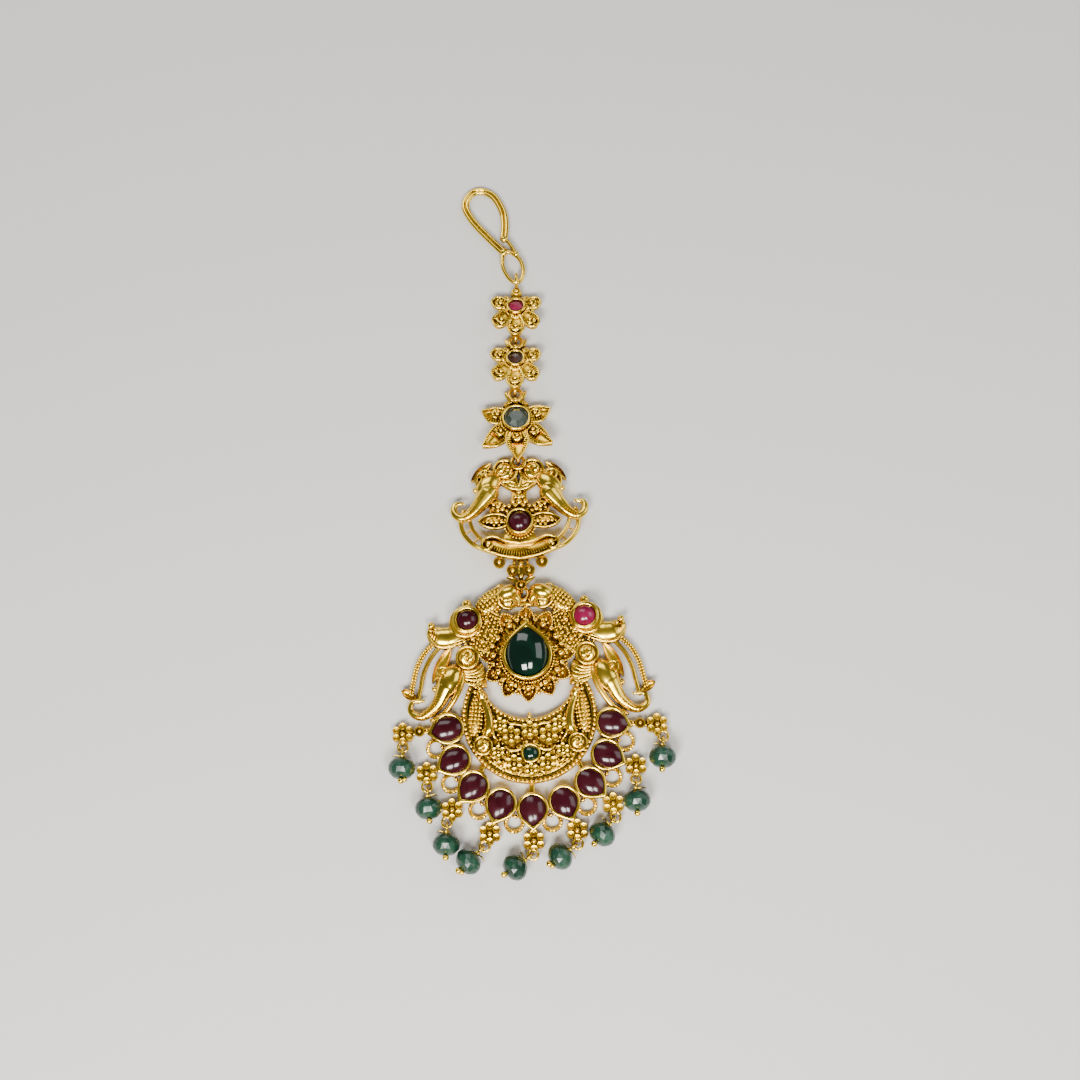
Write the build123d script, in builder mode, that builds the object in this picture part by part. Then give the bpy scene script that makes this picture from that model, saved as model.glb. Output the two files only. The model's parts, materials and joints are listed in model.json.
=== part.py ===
"""Maang tikka: a hair hook, two flower links, a star flower link, an elephant link and a
round pendant with a crescent, nine pear rubies and nine hanging green beads.

It lies face up on the plane Z = 0. +Y runs from the pendant towards the hook. The origin is on
the pendant's back, below the middle of the large emerald. Lengths are in millimetres.
"""

from collections import namedtuple
from math import asin, atan2, cos, degrees, radians, sin
import os

from build123d import *

os.makedirs("parts", exist_ok=True)

Leaf = namedtuple("Leaf", "base tip left right")  # left and right: how far each side bulges
Petal = namedtuple("Petal", "angle reach width")  # width: half of it, and the radius of its round end
Trunk = namedtuple("Trunk", "path radii")
Link = namedtuple("Link", "bail_reach eye_reach foot turn")  # foot: where the back meets the surface
Drop = namedtuple("Drop", "eye_turn pin_turn")

# ---- metal and stones
wall = 0.5  # bezel walls
gap = 0.06  # between a stone and its bezel
eye_major, eye_minor = 1.05, 0.3  # round wire ring that a bail runs through
bail_major, bail_minor = 0.95, 0.25  # small ring soldered under the lower end of a link
bail_height = 1.25  # centre of a bail above the surface
bail_drop = 0.75  # centre of a bail below its link's back
link_eye_height = 1.45  # centre of a link's eye above its back

# ---- the chain, from the pendant up
pendant_eye = Vector(-0.55, 9.1, 1.15)
elephant_chain = Link(bail_reach=10.57, eye_reach=9.95, foot=11.1, turn=-0.5)
star_chain = Link(bail_reach=6.2, eye_reach=4.15, foot=4.1, turn=0.4)
flower_chain = Link(bail_reach=4.9, eye_reach=3.0, foot=3.0, turn=-2.5)
hook_ring_reach, hook_ring_height, hook_ring_major, hook_ring_minor = 4.7, 2.02, 1.15, 0.28

# ---- hook
hook_wire = 0.35
hook_eye_height = 1.2
hook_tilt = 2.6

# ---- link stones
flower_stone, star_stone, elephant_stone = 1.15, 1.9, 1.75
flower_stone_spot, star_stone_spot, elephant_stone_spot = (0, -0.25), (0, -0.4), (0, -0.5)

petal_low = 0.35  # the petals' undersides above a link's back

# ---- pendant
lotus_centre = (0, -0.6)
lotus_radius, lotus_petals = 7.5, 12
emerald_width, emerald_length = 7.6, 8.9  # outside the bezel
emerald_y = -1.0
emerald_seat, emerald_rim = 2.2, 3.9
crescent_outer, crescent_outer_y = 10.5, -10.1
crescent_inner, crescent_inner_y = 7.75, -2.83
ring_centre = (0, -11.8)
pear_count, pear_step = 9, 22.5
pear_orbit = 12.6
pear_droop = 12  # how far the end pears' tips turn down
pear_width, pear_length = 5.0, 5.9  # outside the bezel
pear_seat, pear_rim = 1.0, 2.1
flower_orbit, end_flower_orbit = 17.4, 19.7
scallop_orbit = 14.9
bird_ruby, bird_stone = (9.2, 4.95), 1.6
crescent_stone, crescent_radius = (0, -16.0), 1.1
spiral = (9.35, -0.85)

# ---- drops: a wire loop, a faceted bead and a ball on a pin
drop_height = 1.1  # centre of a pin's loop
drop_slope = 22.5  # degrees that a pin climbs from its loop to its bead
drop_eye_reach, drop_eye_major, drop_eye_minor = 2.0, 0.75, 0.22
loop_major = 0.62
bead_radius, bead_belt, bead_crown = 2.1, 1.0, 1.1
bead_along = 2.75  # from the loop to the middle of the bead
bead_sides = 12
pin_radius, pin_ball = 0.2, 0.5
drops = [
    Drop(270, 268), Drop(270, 275), Drop(246, 268), Drop(246, 221), Drop(265, 212),
    Drop(270, 212), Drop(278, 228), Drop(268, 268), Drop(296, 263),
]


# ---- shapes shared by the pieces; each draws into the part that is open
def polar(centre, radius, angle):
    """The point at this radius and angle, in degrees, about a centre."""
    return (centre[0] + radius * cos(radians(angle)), centre[1] + radius * sin(radians(angle)))


def leaf_face(leaf):
    """A leaf from its base to its tip, with two curved sides."""
    base, tip = Vector(*leaf.base), Vector(*leaf.tip)
    across = (tip - base).normalized().rotate(Axis.Z, 90)
    middle = (base + tip) * 0.5
    with BuildLine() as edge:
        ThreePointArc(base, middle + across * leaf.left, tip)
        ThreePointArc(tip, middle - across * leaf.right, base)
    make_face(edge.edges())


def raised_leaves(base, leaves, low, high):
    with BuildSketch(base.offset(low)) as shape:
        for leaf in leaves:
            leaf_face(leaf)
    extrude(shape.sketch, amount=high - low)


def rimmed_leaves(base, leaves, low, high, rim):
    """Leaves with a raised edge round a sunken middle."""
    raised_leaves(base, leaves, low, high)
    with BuildSketch(base.offset(high)) as edges:
        for leaf in leaves:
            leaf_face(leaf)
        for leaf in leaves:
            face = ShapeList([inner_leaf(leaf)])
            add(face, mode=Mode.SUBTRACT)
    extrude(edges.sketch, amount=rim)


def inner_leaf(leaf):
    """The sunken middle of a leaf, as a face in the base plane."""
    base, tip = Vector(*leaf.base), Vector(*leaf.tip)
    start, end = base + (tip - base) * 0.1, tip - (tip - base) * 0.16
    with BuildSketch() as shape:
        leaf_face(Leaf(start, end, leaf.left * 0.66, leaf.right * 0.66))
    return shape.sketch_local.faces()[0]


def raised_discs(base, spots, radius, low, high):
    with BuildSketch(base.offset(low)) as shape:
        with Locations(*spots):
            Circle(radius)
    extrude(shape.sketch, amount=high - low)


def raised_bars(base, pairs, width, low, high):
    """Straight strips with round ends, each from one point to another."""
    with BuildSketch(base.offset(low)) as shape:
        for start, end in pairs:
            run = Vector(*end) - Vector(*start)
            middle = (Vector(*end) + Vector(*start)) * 0.5
            with Locations(Location((middle.X, middle.Y, 0), (0, 0, degrees(atan2(run.Y, run.X))))):
                SlotCenterToCenter(run.length, width)
    extrude(shape.sketch, amount=high - low)


def balls(spots, radius, height):
    with Locations(*[(x, y, height) for x, y in spots]):
        Sphere(radius)


def rings(spots, major, minor, height):
    with Locations(*[(x, y, height) for x, y in spots]):
        Torus(major, minor)


def ring_dots(base, spots, radius, low, high):
    """Small discs with a raised wire rim and a ball in the middle."""
    raised_discs(base, spots, radius, low, high)
    rings(spots, radius * 0.78, radius * 0.24, high)
    balls(spots, radius * 0.36, high)


def wire(base, points, radius):
    """A round wire along a smooth line through points that are given in the base plane."""
    with BuildLine(base) as line:
        Spline(*points)
    with BuildSketch(Plane(origin=line.wire() @ 0, z_dir=line.wire() % 0)) as section:
        Circle(radius)
    sweep(section.sketch, path=line.wire())


def trunk(base, spec):
    """An elephant's trunk: a tapering wire that curls up at its end."""
    with BuildLine(base) as line:
        Spline(*spec.path)
    run = line.wire()
    sections = []
    for share, radius in spec.radii:
        with BuildSketch(Plane(origin=run @ share, z_dir=run % share)) as section:
            Circle(radius)
        sections.append(section.sketch)
    sweep(sections, path=run, multisection=True)


def dome(base, centre, long_half, short_half, angle, height):
    """An egg-shaped boss, with its long axis turned by angle in the base plane."""
    middle = base.from_local_coords(Vector(centre[0], centre[1], height))
    along = base.from_local_coords(Vector(cos(radians(angle)), sin(radians(angle)), 0)) - base.origin
    with BuildSketch(Plane(origin=middle, x_dir=along, z_dir=base.z_dir)) as outline:
        Ellipse(long_half, short_half)
    extrude(outline.sketch, amount=-height)
    with BuildSketch(Plane(origin=middle, x_dir=along, z_dir=base.z_dir)) as half:
        Ellipse(long_half, short_half)
        Rectangle(2 * long_half, short_half, align=(Align.CENTER, Align.MAX), mode=Mode.SUBTRACT)
    revolve(half.sketch, axis=Axis(middle, along), revolution_arc=180)


def pear(width, length):
    """A pear-shaped sketch along +X, with its round end about the origin."""
    radius = width / 2
    reach = length - radius
    with BuildLine() as edge:
        ThreePointArc((0, radius), (-radius, 0), (0, -radius))
        side = Spline((0, radius), (0.56 * reach, 0.74 * radius), (reach, 0), tangents=((1, 0), (0.62, -0.78)))
        mirror(side, about=Plane.XZ)
    with BuildSketch() as shape:
        make_face(edge.edges())
    return shape.sketch_local


def pear_bezels(base, spots, width, length, seat, rim):
    """Pear-shaped cups: solid up to the seat, and a wall up to the rim."""
    with BuildSketch(base) as outside:
        with Locations(*spots):
            add(pear(width, length))
    extrude(outside.sketch, amount=rim)
    with BuildSketch(base.offset(seat)) as inside:
        with Locations(*spots):
            add(pear(width - 2 * wall, length - 2.6 * wall))
    extrude(inside.sketch, amount=rim - seat + 0.5, mode=Mode.SUBTRACT)


def round_bezels(base, spots, stone_radius, seat, rim, low=0.0):
    """Round cups: solid up to the seat, and a wall up to the rim."""
    raised_discs(base, spots, stone_radius + gap + wall * 0.8, low, rim)
    with BuildSketch(base.offset(seat)) as inside:
        with Locations(*spots):
            Circle(stone_radius + gap)
    extrude(inside.sketch, amount=rim - seat + 0.5, mode=Mode.SUBTRACT)


def bail(reach):
    """The ring under a link's lower end, across the link's plane."""
    with Locations(Location((0, -reach, -bail_drop), (0, 90, 0))):
        Torus(bail_major, bail_minor)


def link_plane(bail_point, chain):
    """The plane of a link's back: its top end low, its lower end up on the next piece."""
    rise = asin((bail_height + bail_drop) / (chain.bail_reach + chain.foot))
    turn = radians(chain.turn)
    across = Vector(cos(turn), sin(turn), 0)
    up_chain = Vector(-sin(turn) * cos(rise), cos(turn) * cos(rise), -sin(rise))
    face = Plane(origin=(0, 0, 0), x_dir=across, z_dir=across.cross(up_chain))
    offset_to_bail = face.from_local_coords(Vector(0, -chain.bail_reach, -bail_drop))
    return Plane(origin=bail_point - offset_to_bail, x_dir=across, z_dir=face.z_dir)


def next_bail(plane, chain):
    """Where the next link's bail goes round the far side of this link's eye."""
    rim = plane.from_local_coords(Vector(0, chain.eye_reach + eye_major, link_eye_height))
    return Vector(rim.X, rim.Y, bail_height)


def link_ends(base, chain):
    """The eye at a link's top on its solder block, and the bail under its lower end."""
    with Locations((0, chain.eye_reach - eye_major - 0.1, 0.1)):
        Box(0.9, 1.0, link_eye_height + 0.15, align=(Align.CENTER, Align.CENTER, Align.MIN))
    rings([(0, chain.eye_reach)], eye_major, eye_minor, link_eye_height)
    bail(chain.bail_reach)


def eye_horns(base, chain):
    """Two small leaves that rise beside a link's eye, and a ball on the near side of its rim."""
    horns = []
    for side in (-1, 1):
        bulges = (0.1, 0.45) if side > 0 else (0.45, 0.1)
        horns.append(Leaf((side * 0.75, chain.eye_reach - 0.9), (side * 1.65, chain.eye_reach + 0.8), *bulges))
    raised_leaves(base, horns, 0.8, 1.55)
    balls([(0, chain.eye_reach - eye_major)], 0.42, link_eye_height + 0.25)


def seat_plane(base, spot, height, toward=0.0):
    """A stone's plane: above a spot on a base, with X turned by toward degrees."""
    origin = base.from_local_coords(Vector(spot[0], spot[1], height + 0.03))
    along = base.from_local_coords(Vector(cos(radians(toward)), sin(radians(toward)), 0)) - base.origin
    return Plane(origin=origin, x_dir=along, z_dir=base.z_dir)


def round_cabochon(plane, radius, height, dome_radius):
    with BuildPart(plane) as stone:
        Cylinder(radius, height, align=(Align.CENTER, Align.CENTER, Align.MIN))
        with Locations((0, 0, height - dome_radius)):
            Sphere(dome_radius, mode=Mode.INTERSECT)
    return stone.part


def round_cut_stone(plane, radius, girdle, crown):
    """A round stone with a flat table and eight sloping crown facets."""
    with BuildPart(plane) as stone:
        with BuildSketch(plane) as belt:
            RegularPolygon(radius, 16)
        extrude(belt.sketch, amount=girdle)
        with BuildSketch(plane.offset(girdle)) as top:
            RegularPolygon(radius * 0.985, 8)
        extrude(top.sketch, amount=crown, taper=48)
    return stone.part


def pear_cabochon(plane, width, length, height, egg_along, egg_across):
    """A pear-shaped stone whose top is part of an egg with these half-sizes."""
    middle = plane.from_local_coords(Vector(0.05 * length, 0, height - egg_across))
    with BuildPart() as stone:
        with BuildSketch(plane) as outline:
            add(pear(width, length))
        extrude(outline.sketch, amount=height)
        with BuildSketch(Plane(origin=middle, x_dir=plane.x_dir, z_dir=plane.z_dir)) as half:
            Ellipse(egg_along, egg_across)
            Rectangle(2 * egg_along, egg_across, align=(Align.CENTER, Align.MAX), mode=Mode.SUBTRACT)
        revolve(half.sketch, axis=Axis(middle, plane.x_dir), mode=Mode.INTERSECT)
    return stone.part


def pear_inside(width, length):
    """The stone's width and length inside a pear-shaped bezel of this outside size."""
    return width - 2 * (wall + gap), length - 2.6 * (wall + gap)


def save(part, name):
    """Write a piece to its own file, and print what it is."""
    part.label = name
    export_step(part, f"parts/{name}.step")
    box = part.bounding_box()
    print(f"{name}: {len(part.solids())} solid, valid {part.is_valid}, {part.volume:.1f} mm3, "
          f"{box.min.X:.2f} {box.min.Y:.2f} {box.min.Z:.2f} to {box.max.X:.2f} {box.max.Y:.2f} {box.max.Z:.2f}")


# ---- where the links lie
table = Plane.XY
pendant_rim = Vector(pendant_eye.X, pendant_eye.Y + eye_major, bail_height)
elephant_plane = link_plane(pendant_rim, elephant_chain)
star_plane = link_plane(next_bail(elephant_plane, elephant_chain), star_chain)
flower_plane_2 = link_plane(next_bail(star_plane, star_chain), flower_chain)
flower_plane_1 = link_plane(next_bail(flower_plane_2, flower_chain), flower_chain)
hook_ring_point = flower_plane_1.from_local_coords(Vector(0, hook_ring_reach, hook_ring_height))

# ---- hook: a doubled wire bent to a long loop, and an oval eye of single wire
tilt = radians(hook_tilt)
hook_plane = Plane(
    origin=(hook_ring_point.X, hook_ring_point.Y - 0.1, hook_eye_height),
    x_dir=(1, 0, 0),
    z_dir=(0, sin(tilt), cos(tilt)),
)
hook_loop = [(-2.35, 6.1), (-4.7, 8.8), (-7.1, 11.9), (-8.3, 14.7), (-7.4, 16.9), (-5.6, 17.6),
             (-3.4, 16.4), (-1.95, 13.5), (-1.65, 10.8), (-1.9, 8.2)]
hook_tail = [(-1.8, 8.1, 0.1), (-0.9, 7.2, 0.1), (0.1, 5.3, 0.1)]
hook_eye = [(-1.45, 5.85, 0), (-0.6, 5.5, 0), (0.65, 4.3, 0), (1.2, 2.4, 0), (0.9, 0.7, 0), (0.0, 0.0, 0),
            (-1.2, 0.75, 0), (-2.2, 3.0, 0), (-2.2, 5.3, 0)]
with BuildPart() as hook:
    with BuildLine() as centreline:
        Spline(*hook_loop)
    start = centreline.wire()
    with BuildSketch(Plane(origin=start @ 0, x_dir=(0, 0, 1), z_dir=start % 0)) as strands:
        with Locations((0, 0.31), (0, -0.31)):
            Circle(hook_wire)
    sweep(strands.sketch, path=start, transition=Transition.ROUND)
    wire(table, hook_eye, hook_wire)
    wire(table, hook_tail, hook_wire * 0.95)
    with Locations((-1.85, 5.8, 0)):
        Box(1.3, 1.3, 1.0)
    balls([(-1.85, 8.15), (0.1, 5.25)], 0.72, 0.05)
save(hook.part.moved(hook_plane.location), "hook")


# ---- flower links: a stone, five round cupped petals, and a knob at the top
flower_petals = [
    Petal(16, 4.2, 1.2), Petal(164, 4.2, 1.2), Petal(228, 5.2, 1.4), Petal(270, 5.75, 1.5), Petal(312, 5.2, 1.4),
]


def round_petal(base, petal):
    """A petal with a round end and a wire rim about its sunken middle."""
    middle = polar((0, 0), petal.reach - petal.width, petal.angle)
    raised_bars(base, [((0, 0), middle)], 1.7 * petal.width, petal_low, 0.95)
    raised_discs(base, [middle], petal.width, petal_low, 0.95)
    rings([middle], petal.width - 0.2, 0.25, 1.1)
    balls([middle], 0.45, 0.9)


def flower_link(place, name, with_eye):
    with BuildPart() as link:
        raised_discs(table, [(0, 0)], 2.3, 0, 1.1)
        for petal in flower_petals:
            round_petal(table, petal)
        balls([polar((0, 0), 2.05, angle) for angle in (50, 130, 190, 250, 290, 350)], 0.38, 1.25)
        if with_eye:
            link_ends(table, flower_chain)
            eye_horns(table, flower_chain)
        else:
            balls([(0, 2.3), (0, 3.2)], 0.75, 1.0)
            bail(flower_chain.bail_reach)
            with Locations(Location((0, hook_ring_reach, hook_ring_height), (0, 90, 0))):
                Torus(hook_ring_major, hook_ring_minor)
        round_bezels(table, [flower_stone_spot], flower_stone, 0.9, 2.0)
    save(link.part.moved(place.location), name)
    stone = round_cut_stone(seat_plane(place, flower_stone_spot, 0.9), flower_stone, 0.75, 0.65)
    save(stone, name.replace("link", "stone"))


flower_link(flower_plane_1, "flower_link_1", with_eye=False)
flower_link(flower_plane_2, "flower_link_2", with_eye=True)

# ---- star link: a round stone on six pointed petals
star_petals = [
    Leaf((0.9, 0.4), (5.6, 1.5), 1.3, 1.8),
    Leaf((-0.9, 0.4), (-5.6, 1.5), 1.8, 1.3),
    Leaf((0.7, -0.6), (5.65, -5.0), 1.4, 2.1),
    Leaf((-0.7, -0.6), (-5.65, -5.0), 2.1, 1.4),
    Leaf((0, -1.0), (0, -7.9), 2.0, 2.0),
]
star_calyx = [Leaf((0.2, 3.3), (2.1, 2.1), 0.55, 0.25), Leaf((-0.2, 3.3), (-2.1, 2.1), 0.25, 0.55)]
with BuildPart() as star_link:
    raised_discs(table, [(0, 0)], 2.7, 0, 1.1)
    rimmed_leaves(table, star_petals, petal_low, 1.0, 0.5)
    raised_leaves(table, star_calyx, 0.3, 1.35)
    balls([(3.2, 0.9), (-3.2, 0.9), (2.75, -2.35), (-2.75, -2.35), (0, -3.4)], 0.62, 1.1)
    link_ends(table, star_chain)
    eye_horns(table, star_chain)
    round_bezels(table, [star_stone_spot], star_stone, 1.1, 2.3)
save(star_link.part.moved(star_plane.location), "star_link")
save(round_cut_stone(seat_plane(star_plane, star_stone_spot, 1.1), star_stone, 0.85, 0.7), "star_stone")

# ---- elephant link: two heads back to back over a round ruby, with a boat below
small_trunk = Trunk(
    [(4.9, 4.7, 1.2), (6.4, 2.9, 1.05), (7.9, 1.35, 0.95), (9.3, 0.75, 0.9), (10.45, 1.6, 0.9),
     (10.35, 3.0, 0.9), (9.0, 3.3, 0.9)],
    [(0, 1.2), (0.3, 0.85), (0.65, 0.6), (1, 0.36)],
)
small_scroll = (2.2, 8.6)
with BuildPart() as elephant_half:
    raised_discs(table, [small_scroll], 2.1, 0, 1.0)
    rings([small_scroll], 1.8, 0.25, 1.05)
    balls([small_scroll], 0.75, 0.9)
    dome(table, (4.95, 6.15), 2.75, 1.75, -56, 1.15)
    balls([(5.3, 7.8)], 0.55, 1.9)
    balls([(7.0, 5.4)], 0.45, 1.0)
    raised_leaves(table, [Leaf((4.4, 10.1), (7.7, 7.0), 0.8, 0.8)], 0.2, 1.0)
    trunk(table, small_trunk)
    rimmed_leaves(table, [Leaf((1.2, 0), (6.6, 0), 1.3, 1.3)], 0, 1.0, 0.5)
    balls([(3.1, 0), (4.0, 0), (4.9, 0)], 0.42, 1.1)
    wire(table, [(9.0, 2.0, 0.6), (9.45, 0.3, 0.6), (8.95, -2.1, 0.6), (5.6, -4.6, 0.6)], 0.38)
    wire(table, [(7.7, 2.4, 0.6), (7.95, 0.4, 0.6), (7.4, -1.5, 0.6), (5.0, -3.6, 0.6)], 0.3)
    raised_bars(table, [((9.1, -1.7), (7.4, -1.2)), ((7.9, 0.1), (6.6, 0.0))], 0.45, 0.3, 0.85)
    ring_dots(table, [(3.4, -6.9), (1.3, -8.3)], 1.0, 0.1, 1.1)
    raised_bars(table, [((3.4, -6.9), (3.0, -5.2)), ((1.3, -8.3), (0.9, -5.6))], 0.6, 0.2, 0.8)
    raised_leaves(table, [Leaf((2.5, -9.4), (0.1, -11.0), 0.05, 0.75)], 0.3, 1.0)
    mirror(about=Plane.YZ)
with BuildPart() as elephant_link:
    # the ground between the collar and the ruby, pierced by two holes
    with BuildSketch() as ground:
        Circle(2.6)
        with Locations((0, 3.4)):
            RectangleRounded(8.8, 4.6, 1.0)
        with Locations((0, -3.0)):
            Rectangle(4.4, 2.6)
        with Locations((2.4, 4.3), (-2.4, 4.3)):
            Circle(0.75, mode=Mode.SUBTRACT)
    extrude(ground.sketch, amount=0.9)
    # the half-moon collar with its slot
    with BuildSketch() as collar:
        with Locations((0, 9.1)):
            Circle(3.85)
            Rectangle(8, 8, align=(Align.CENTER, Align.MIN), mode=Mode.SUBTRACT)
        with Locations((0, 7.3)):
            SlotOverall(2.0, 0.5, rotation=90, mode=Mode.SUBTRACT)
    extrude(collar.sketch, amount=1.2)
    # the boat, its ends curled up
    with BuildLine() as boat_edge:
        right_side = Spline(
            (0, -3.9), (2.2, -3.4), (4.3, -2.6), (5.9, -3.2), (6.0, -4.5), (4.9, -5.1), (2.6, -5.9), (0, -6.4),
            tangents=((1, 0), (-1, 0)),
        )
        mirror(right_side, about=Plane.YZ)
    with BuildSketch() as boat:
        make_face(boat_edge.edges())
    extrude(boat.sketch, amount=1.3)
    link_ends(table, elephant_chain)
    add(elephant_half.part)
    balls([(0, 4.7), (-1.0, 2.9), (1.0, 2.9)], 0.5, 1.0)
    raised_bars(table, [((0, -7.4), (0, -10.9)), ((-1.3, -8.3), (1.3, -8.3))], 0.8, 0.2, 0.9)
    ring_dots(table, [(0, -10.75)], 0.7, 0.1, 1.0)
    round_bezels(table, [elephant_stone_spot], elephant_stone, 1.6, 2.8)
save(elephant_link.part.moved(elephant_plane.location), "elephant_link")
elephant_ruby = round_cabochon(seat_plane(elephant_plane, elephant_stone_spot, 1.6), elephant_stone, 1.75, 2.0)
save(elephant_ruby, "elephant_ruby")


# ---- the pendant's frame, one casting
def pear_angle(index):
    return 180 + index * pear_step


def pear_tip_angle(index):
    """Where a pear ruby's tip points: outwards, and lower on the last two at each end."""
    from_end = min(index, pear_count - 1 - index)
    droop = pear_droop * max(0, 1 - from_end / 2)
    return pear_angle(index) + (droop if index < pear_count / 2 else -droop)


def pear_spot(index):
    """A pear ruby: the middle of its round end, with X towards its tip."""
    return Location((*polar(ring_centre, pear_orbit, pear_angle(index)), 0), (0, 0, pear_tip_angle(index)))


def flower_spot(index):
    """The middle of the small flower beyond a pear ruby."""
    if index in (0, pear_count - 1):
        turn = 1.4 if index == 0 else -1.4
        return polar(ring_centre, end_flower_orbit, pear_angle(index) + turn)
    return polar(ring_centre, flower_orbit, pear_angle(index))


def drop_eye_spot(index):
    return polar(flower_spot(index), drop_eye_reach, drops[index].eye_turn)


def crescent_face(inset):
    """The crescent, inset on both edges."""
    with Locations((0, crescent_outer_y)):
        Circle(crescent_outer - inset)
    with Locations((0, crescent_inner_y)):
        Circle(crescent_inner + inset, mode=Mode.SUBTRACT)


def bird(base):
    """A bird: round head, scaled neck, collared ruby and a ribbed tail with a curled tip."""
    balls([(2.6, 9.25)], 1.45, 1.46)
    dome(base, (5.4, 7.75), 2.9, 1.6, -39, 1.0)
    balls([(3.2, 7.8), (4.5, 9.0), (5.6, 8.2), (6.6, 7.4), (4.9, 7.5), (5.9, 6.8)], 0.52, 2.2)
    raised_discs(base, [(9.65, 4.75)], 2.5, 0, 2.5)
    with BuildLine() as edge:
        ThreePointArc((8.6, 3.0), (12.2, 0.95), (14.7, 1.6))
        ThreePointArc((14.7, 1.6), (15.35, 3.0), (15.0, 4.6))
        ThreePointArc((15.0, 4.6), (12.8, 3.75), (10.5, 5.0))
        Line((10.5, 5.0), (8.6, 3.0))
    with BuildSketch(base) as tail:
        make_face(edge.edges())
    extrude(tail.sketch, amount=1.8)
    balls([(15.0, 4.4)], 0.6, 1.5)
    rings([(9.3, 7.75)], 0.55, 0.25, 1.6)


def elephant(base, spec):
    """An elephant's head with its ear, brow curl, tusk and curled trunk."""
    dome(base, (12.4, -4.7), 3.0, 1.7, -61, 1.4)
    balls([(13.2, -3.2), (14.2, -5.3)], 0.55, 2.1)
    trunk(base, spec)
    raised_leaves(base, [Leaf((11.9, 1.0), (15.0, -4.6), 0.95, 0.95)], 0.2, 1.3)


def bowed_wires(base):
    """The two wires that bow from the tail to the trunk, and the small leaf at their end."""
    outer = [(14.1, 2.2), (16.2, 0.1), (17.4, -2.2), (18.0, -4.6), (18.3, -6.2)]
    inner = [(13.2, 1.8), (15.2, -0.6), (16.3, -2.9), (16.8, -5.2), (17.3, -7.4)]
    wire(base, [(x, y, 0.75) for x, y in outer], 0.5)
    wire(base, [(x, y, 0.75) for x, y in inner], 0.35)
    raised_leaves(base, [Leaf((17.5, -7.0), (19.8, -5.6), 0.8, 0.7)], 0.2, 1.3)


pendant_trunk = Trunk(
    [(12.9, -5.4, 1.5), (14.3, -8.1, 1.35), (16.6, -9.75, 1.1), (18.4, -8.9, 1.0), (18.1, -7.4, 1.0),
     (16.2, -7.2, 1.1)],
    [(0, 1.5), (0.35, 0.85), (0.7, 0.58), (1, 0.35)],
)
with BuildPart() as pendant_half:
    bird(table)
    elephant(table, pendant_trunk)
    bowed_wires(table)
    raised_leaves(table, [Leaf((4.6, 6.8), (8.2, -0.8), 1.9, 2.0)], 0, 1.5)
    balls([(7.5, 3.4), (8.4, 1.9), (6.8, 1.7), (10.0, 1.7), (6.1, 4.9)], 0.5, 1.5)
    raised_leaves(table, [Leaf((6.6, -4.9), (11.6, -1.8), 0.9, 1.7)], 0, 1.6)
    raised_discs(table, [spiral], 1.85, 0, 1.9)
    rings([spiral], 1.55, 0.28, 1.95)
    balls([spiral], 0.7, 1.8)
    dome(table, (8.1, -9.9), 3.6, 0.85, 97, 1.1)
    mirror(about=Plane.YZ)

with BuildPart() as crescent:
    with BuildSketch() as ground:
        crescent_face(0)
    extrude(ground.sketch, amount=1.0)
    with BuildSketch(table.offset(1.0)) as field:
        crescent_face(0)
        with BuildSketch(mode=Mode.PRIVATE) as middle:
            crescent_face(0.55)
        add(middle.sketch_local, mode=Mode.SUBTRACT)
    extrude(field.sketch, amount=0.7)
    ring_dots(table, [(-7.5, -14.4), (7.5, -14.4)], 1.3, 0.8, 1.6)
    blossoms = [(2.9, -12.9), (3.1, -17.6), (5.2, -15.3), (4.9, -12.0)]
    blossoms += [(-x, y) for x, y in blossoms] + [(0, -12.6), (0, -18.8)]
    ring_dots(table, blossoms, 0.75, 0.8, 1.4)
    round_bezels(table, [crescent_stone], crescent_radius, 1.1, 2.1)

with BuildPart() as pear_ring:
    pears = [pear_spot(index) for index in range(pear_count)]
    pear_bezels(table, pears, pear_width, pear_length, pear_seat, pear_rim)
    mids = [pear_angle(index + 0.5) for index in range(pear_count - 1)]
    rings([polar(ring_centre, scallop_orbit, mid) for mid in mids], 1.3, 0.28, 0.6)
    spots = [flower_spot(index) for index in range(pear_count)]
    stems = [(polar(ring_centre, 14.8, pear_angle(index)), spots[index]) for index in range(pear_count)]
    raised_bars(table, stems, 0.8, 0.3, 1.0)
    ring_dots(table, [(-17.1, -12.0), (17.1, -12.0)], 0.85, 0.2, 1.2)
    petals = [polar(spot, 1.08, 30 + 60 * k) for spot in spots for k in range(6)]
    raised_discs(table, spots, 1.15, 0.3, 1.1)
    balls(petals, 0.56, 0.95)
    balls(spots, 0.5, 1.2)
    rings([drop_eye_spot(index) for index in range(pear_count)], drop_eye_major, drop_eye_minor, drop_height)

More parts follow.
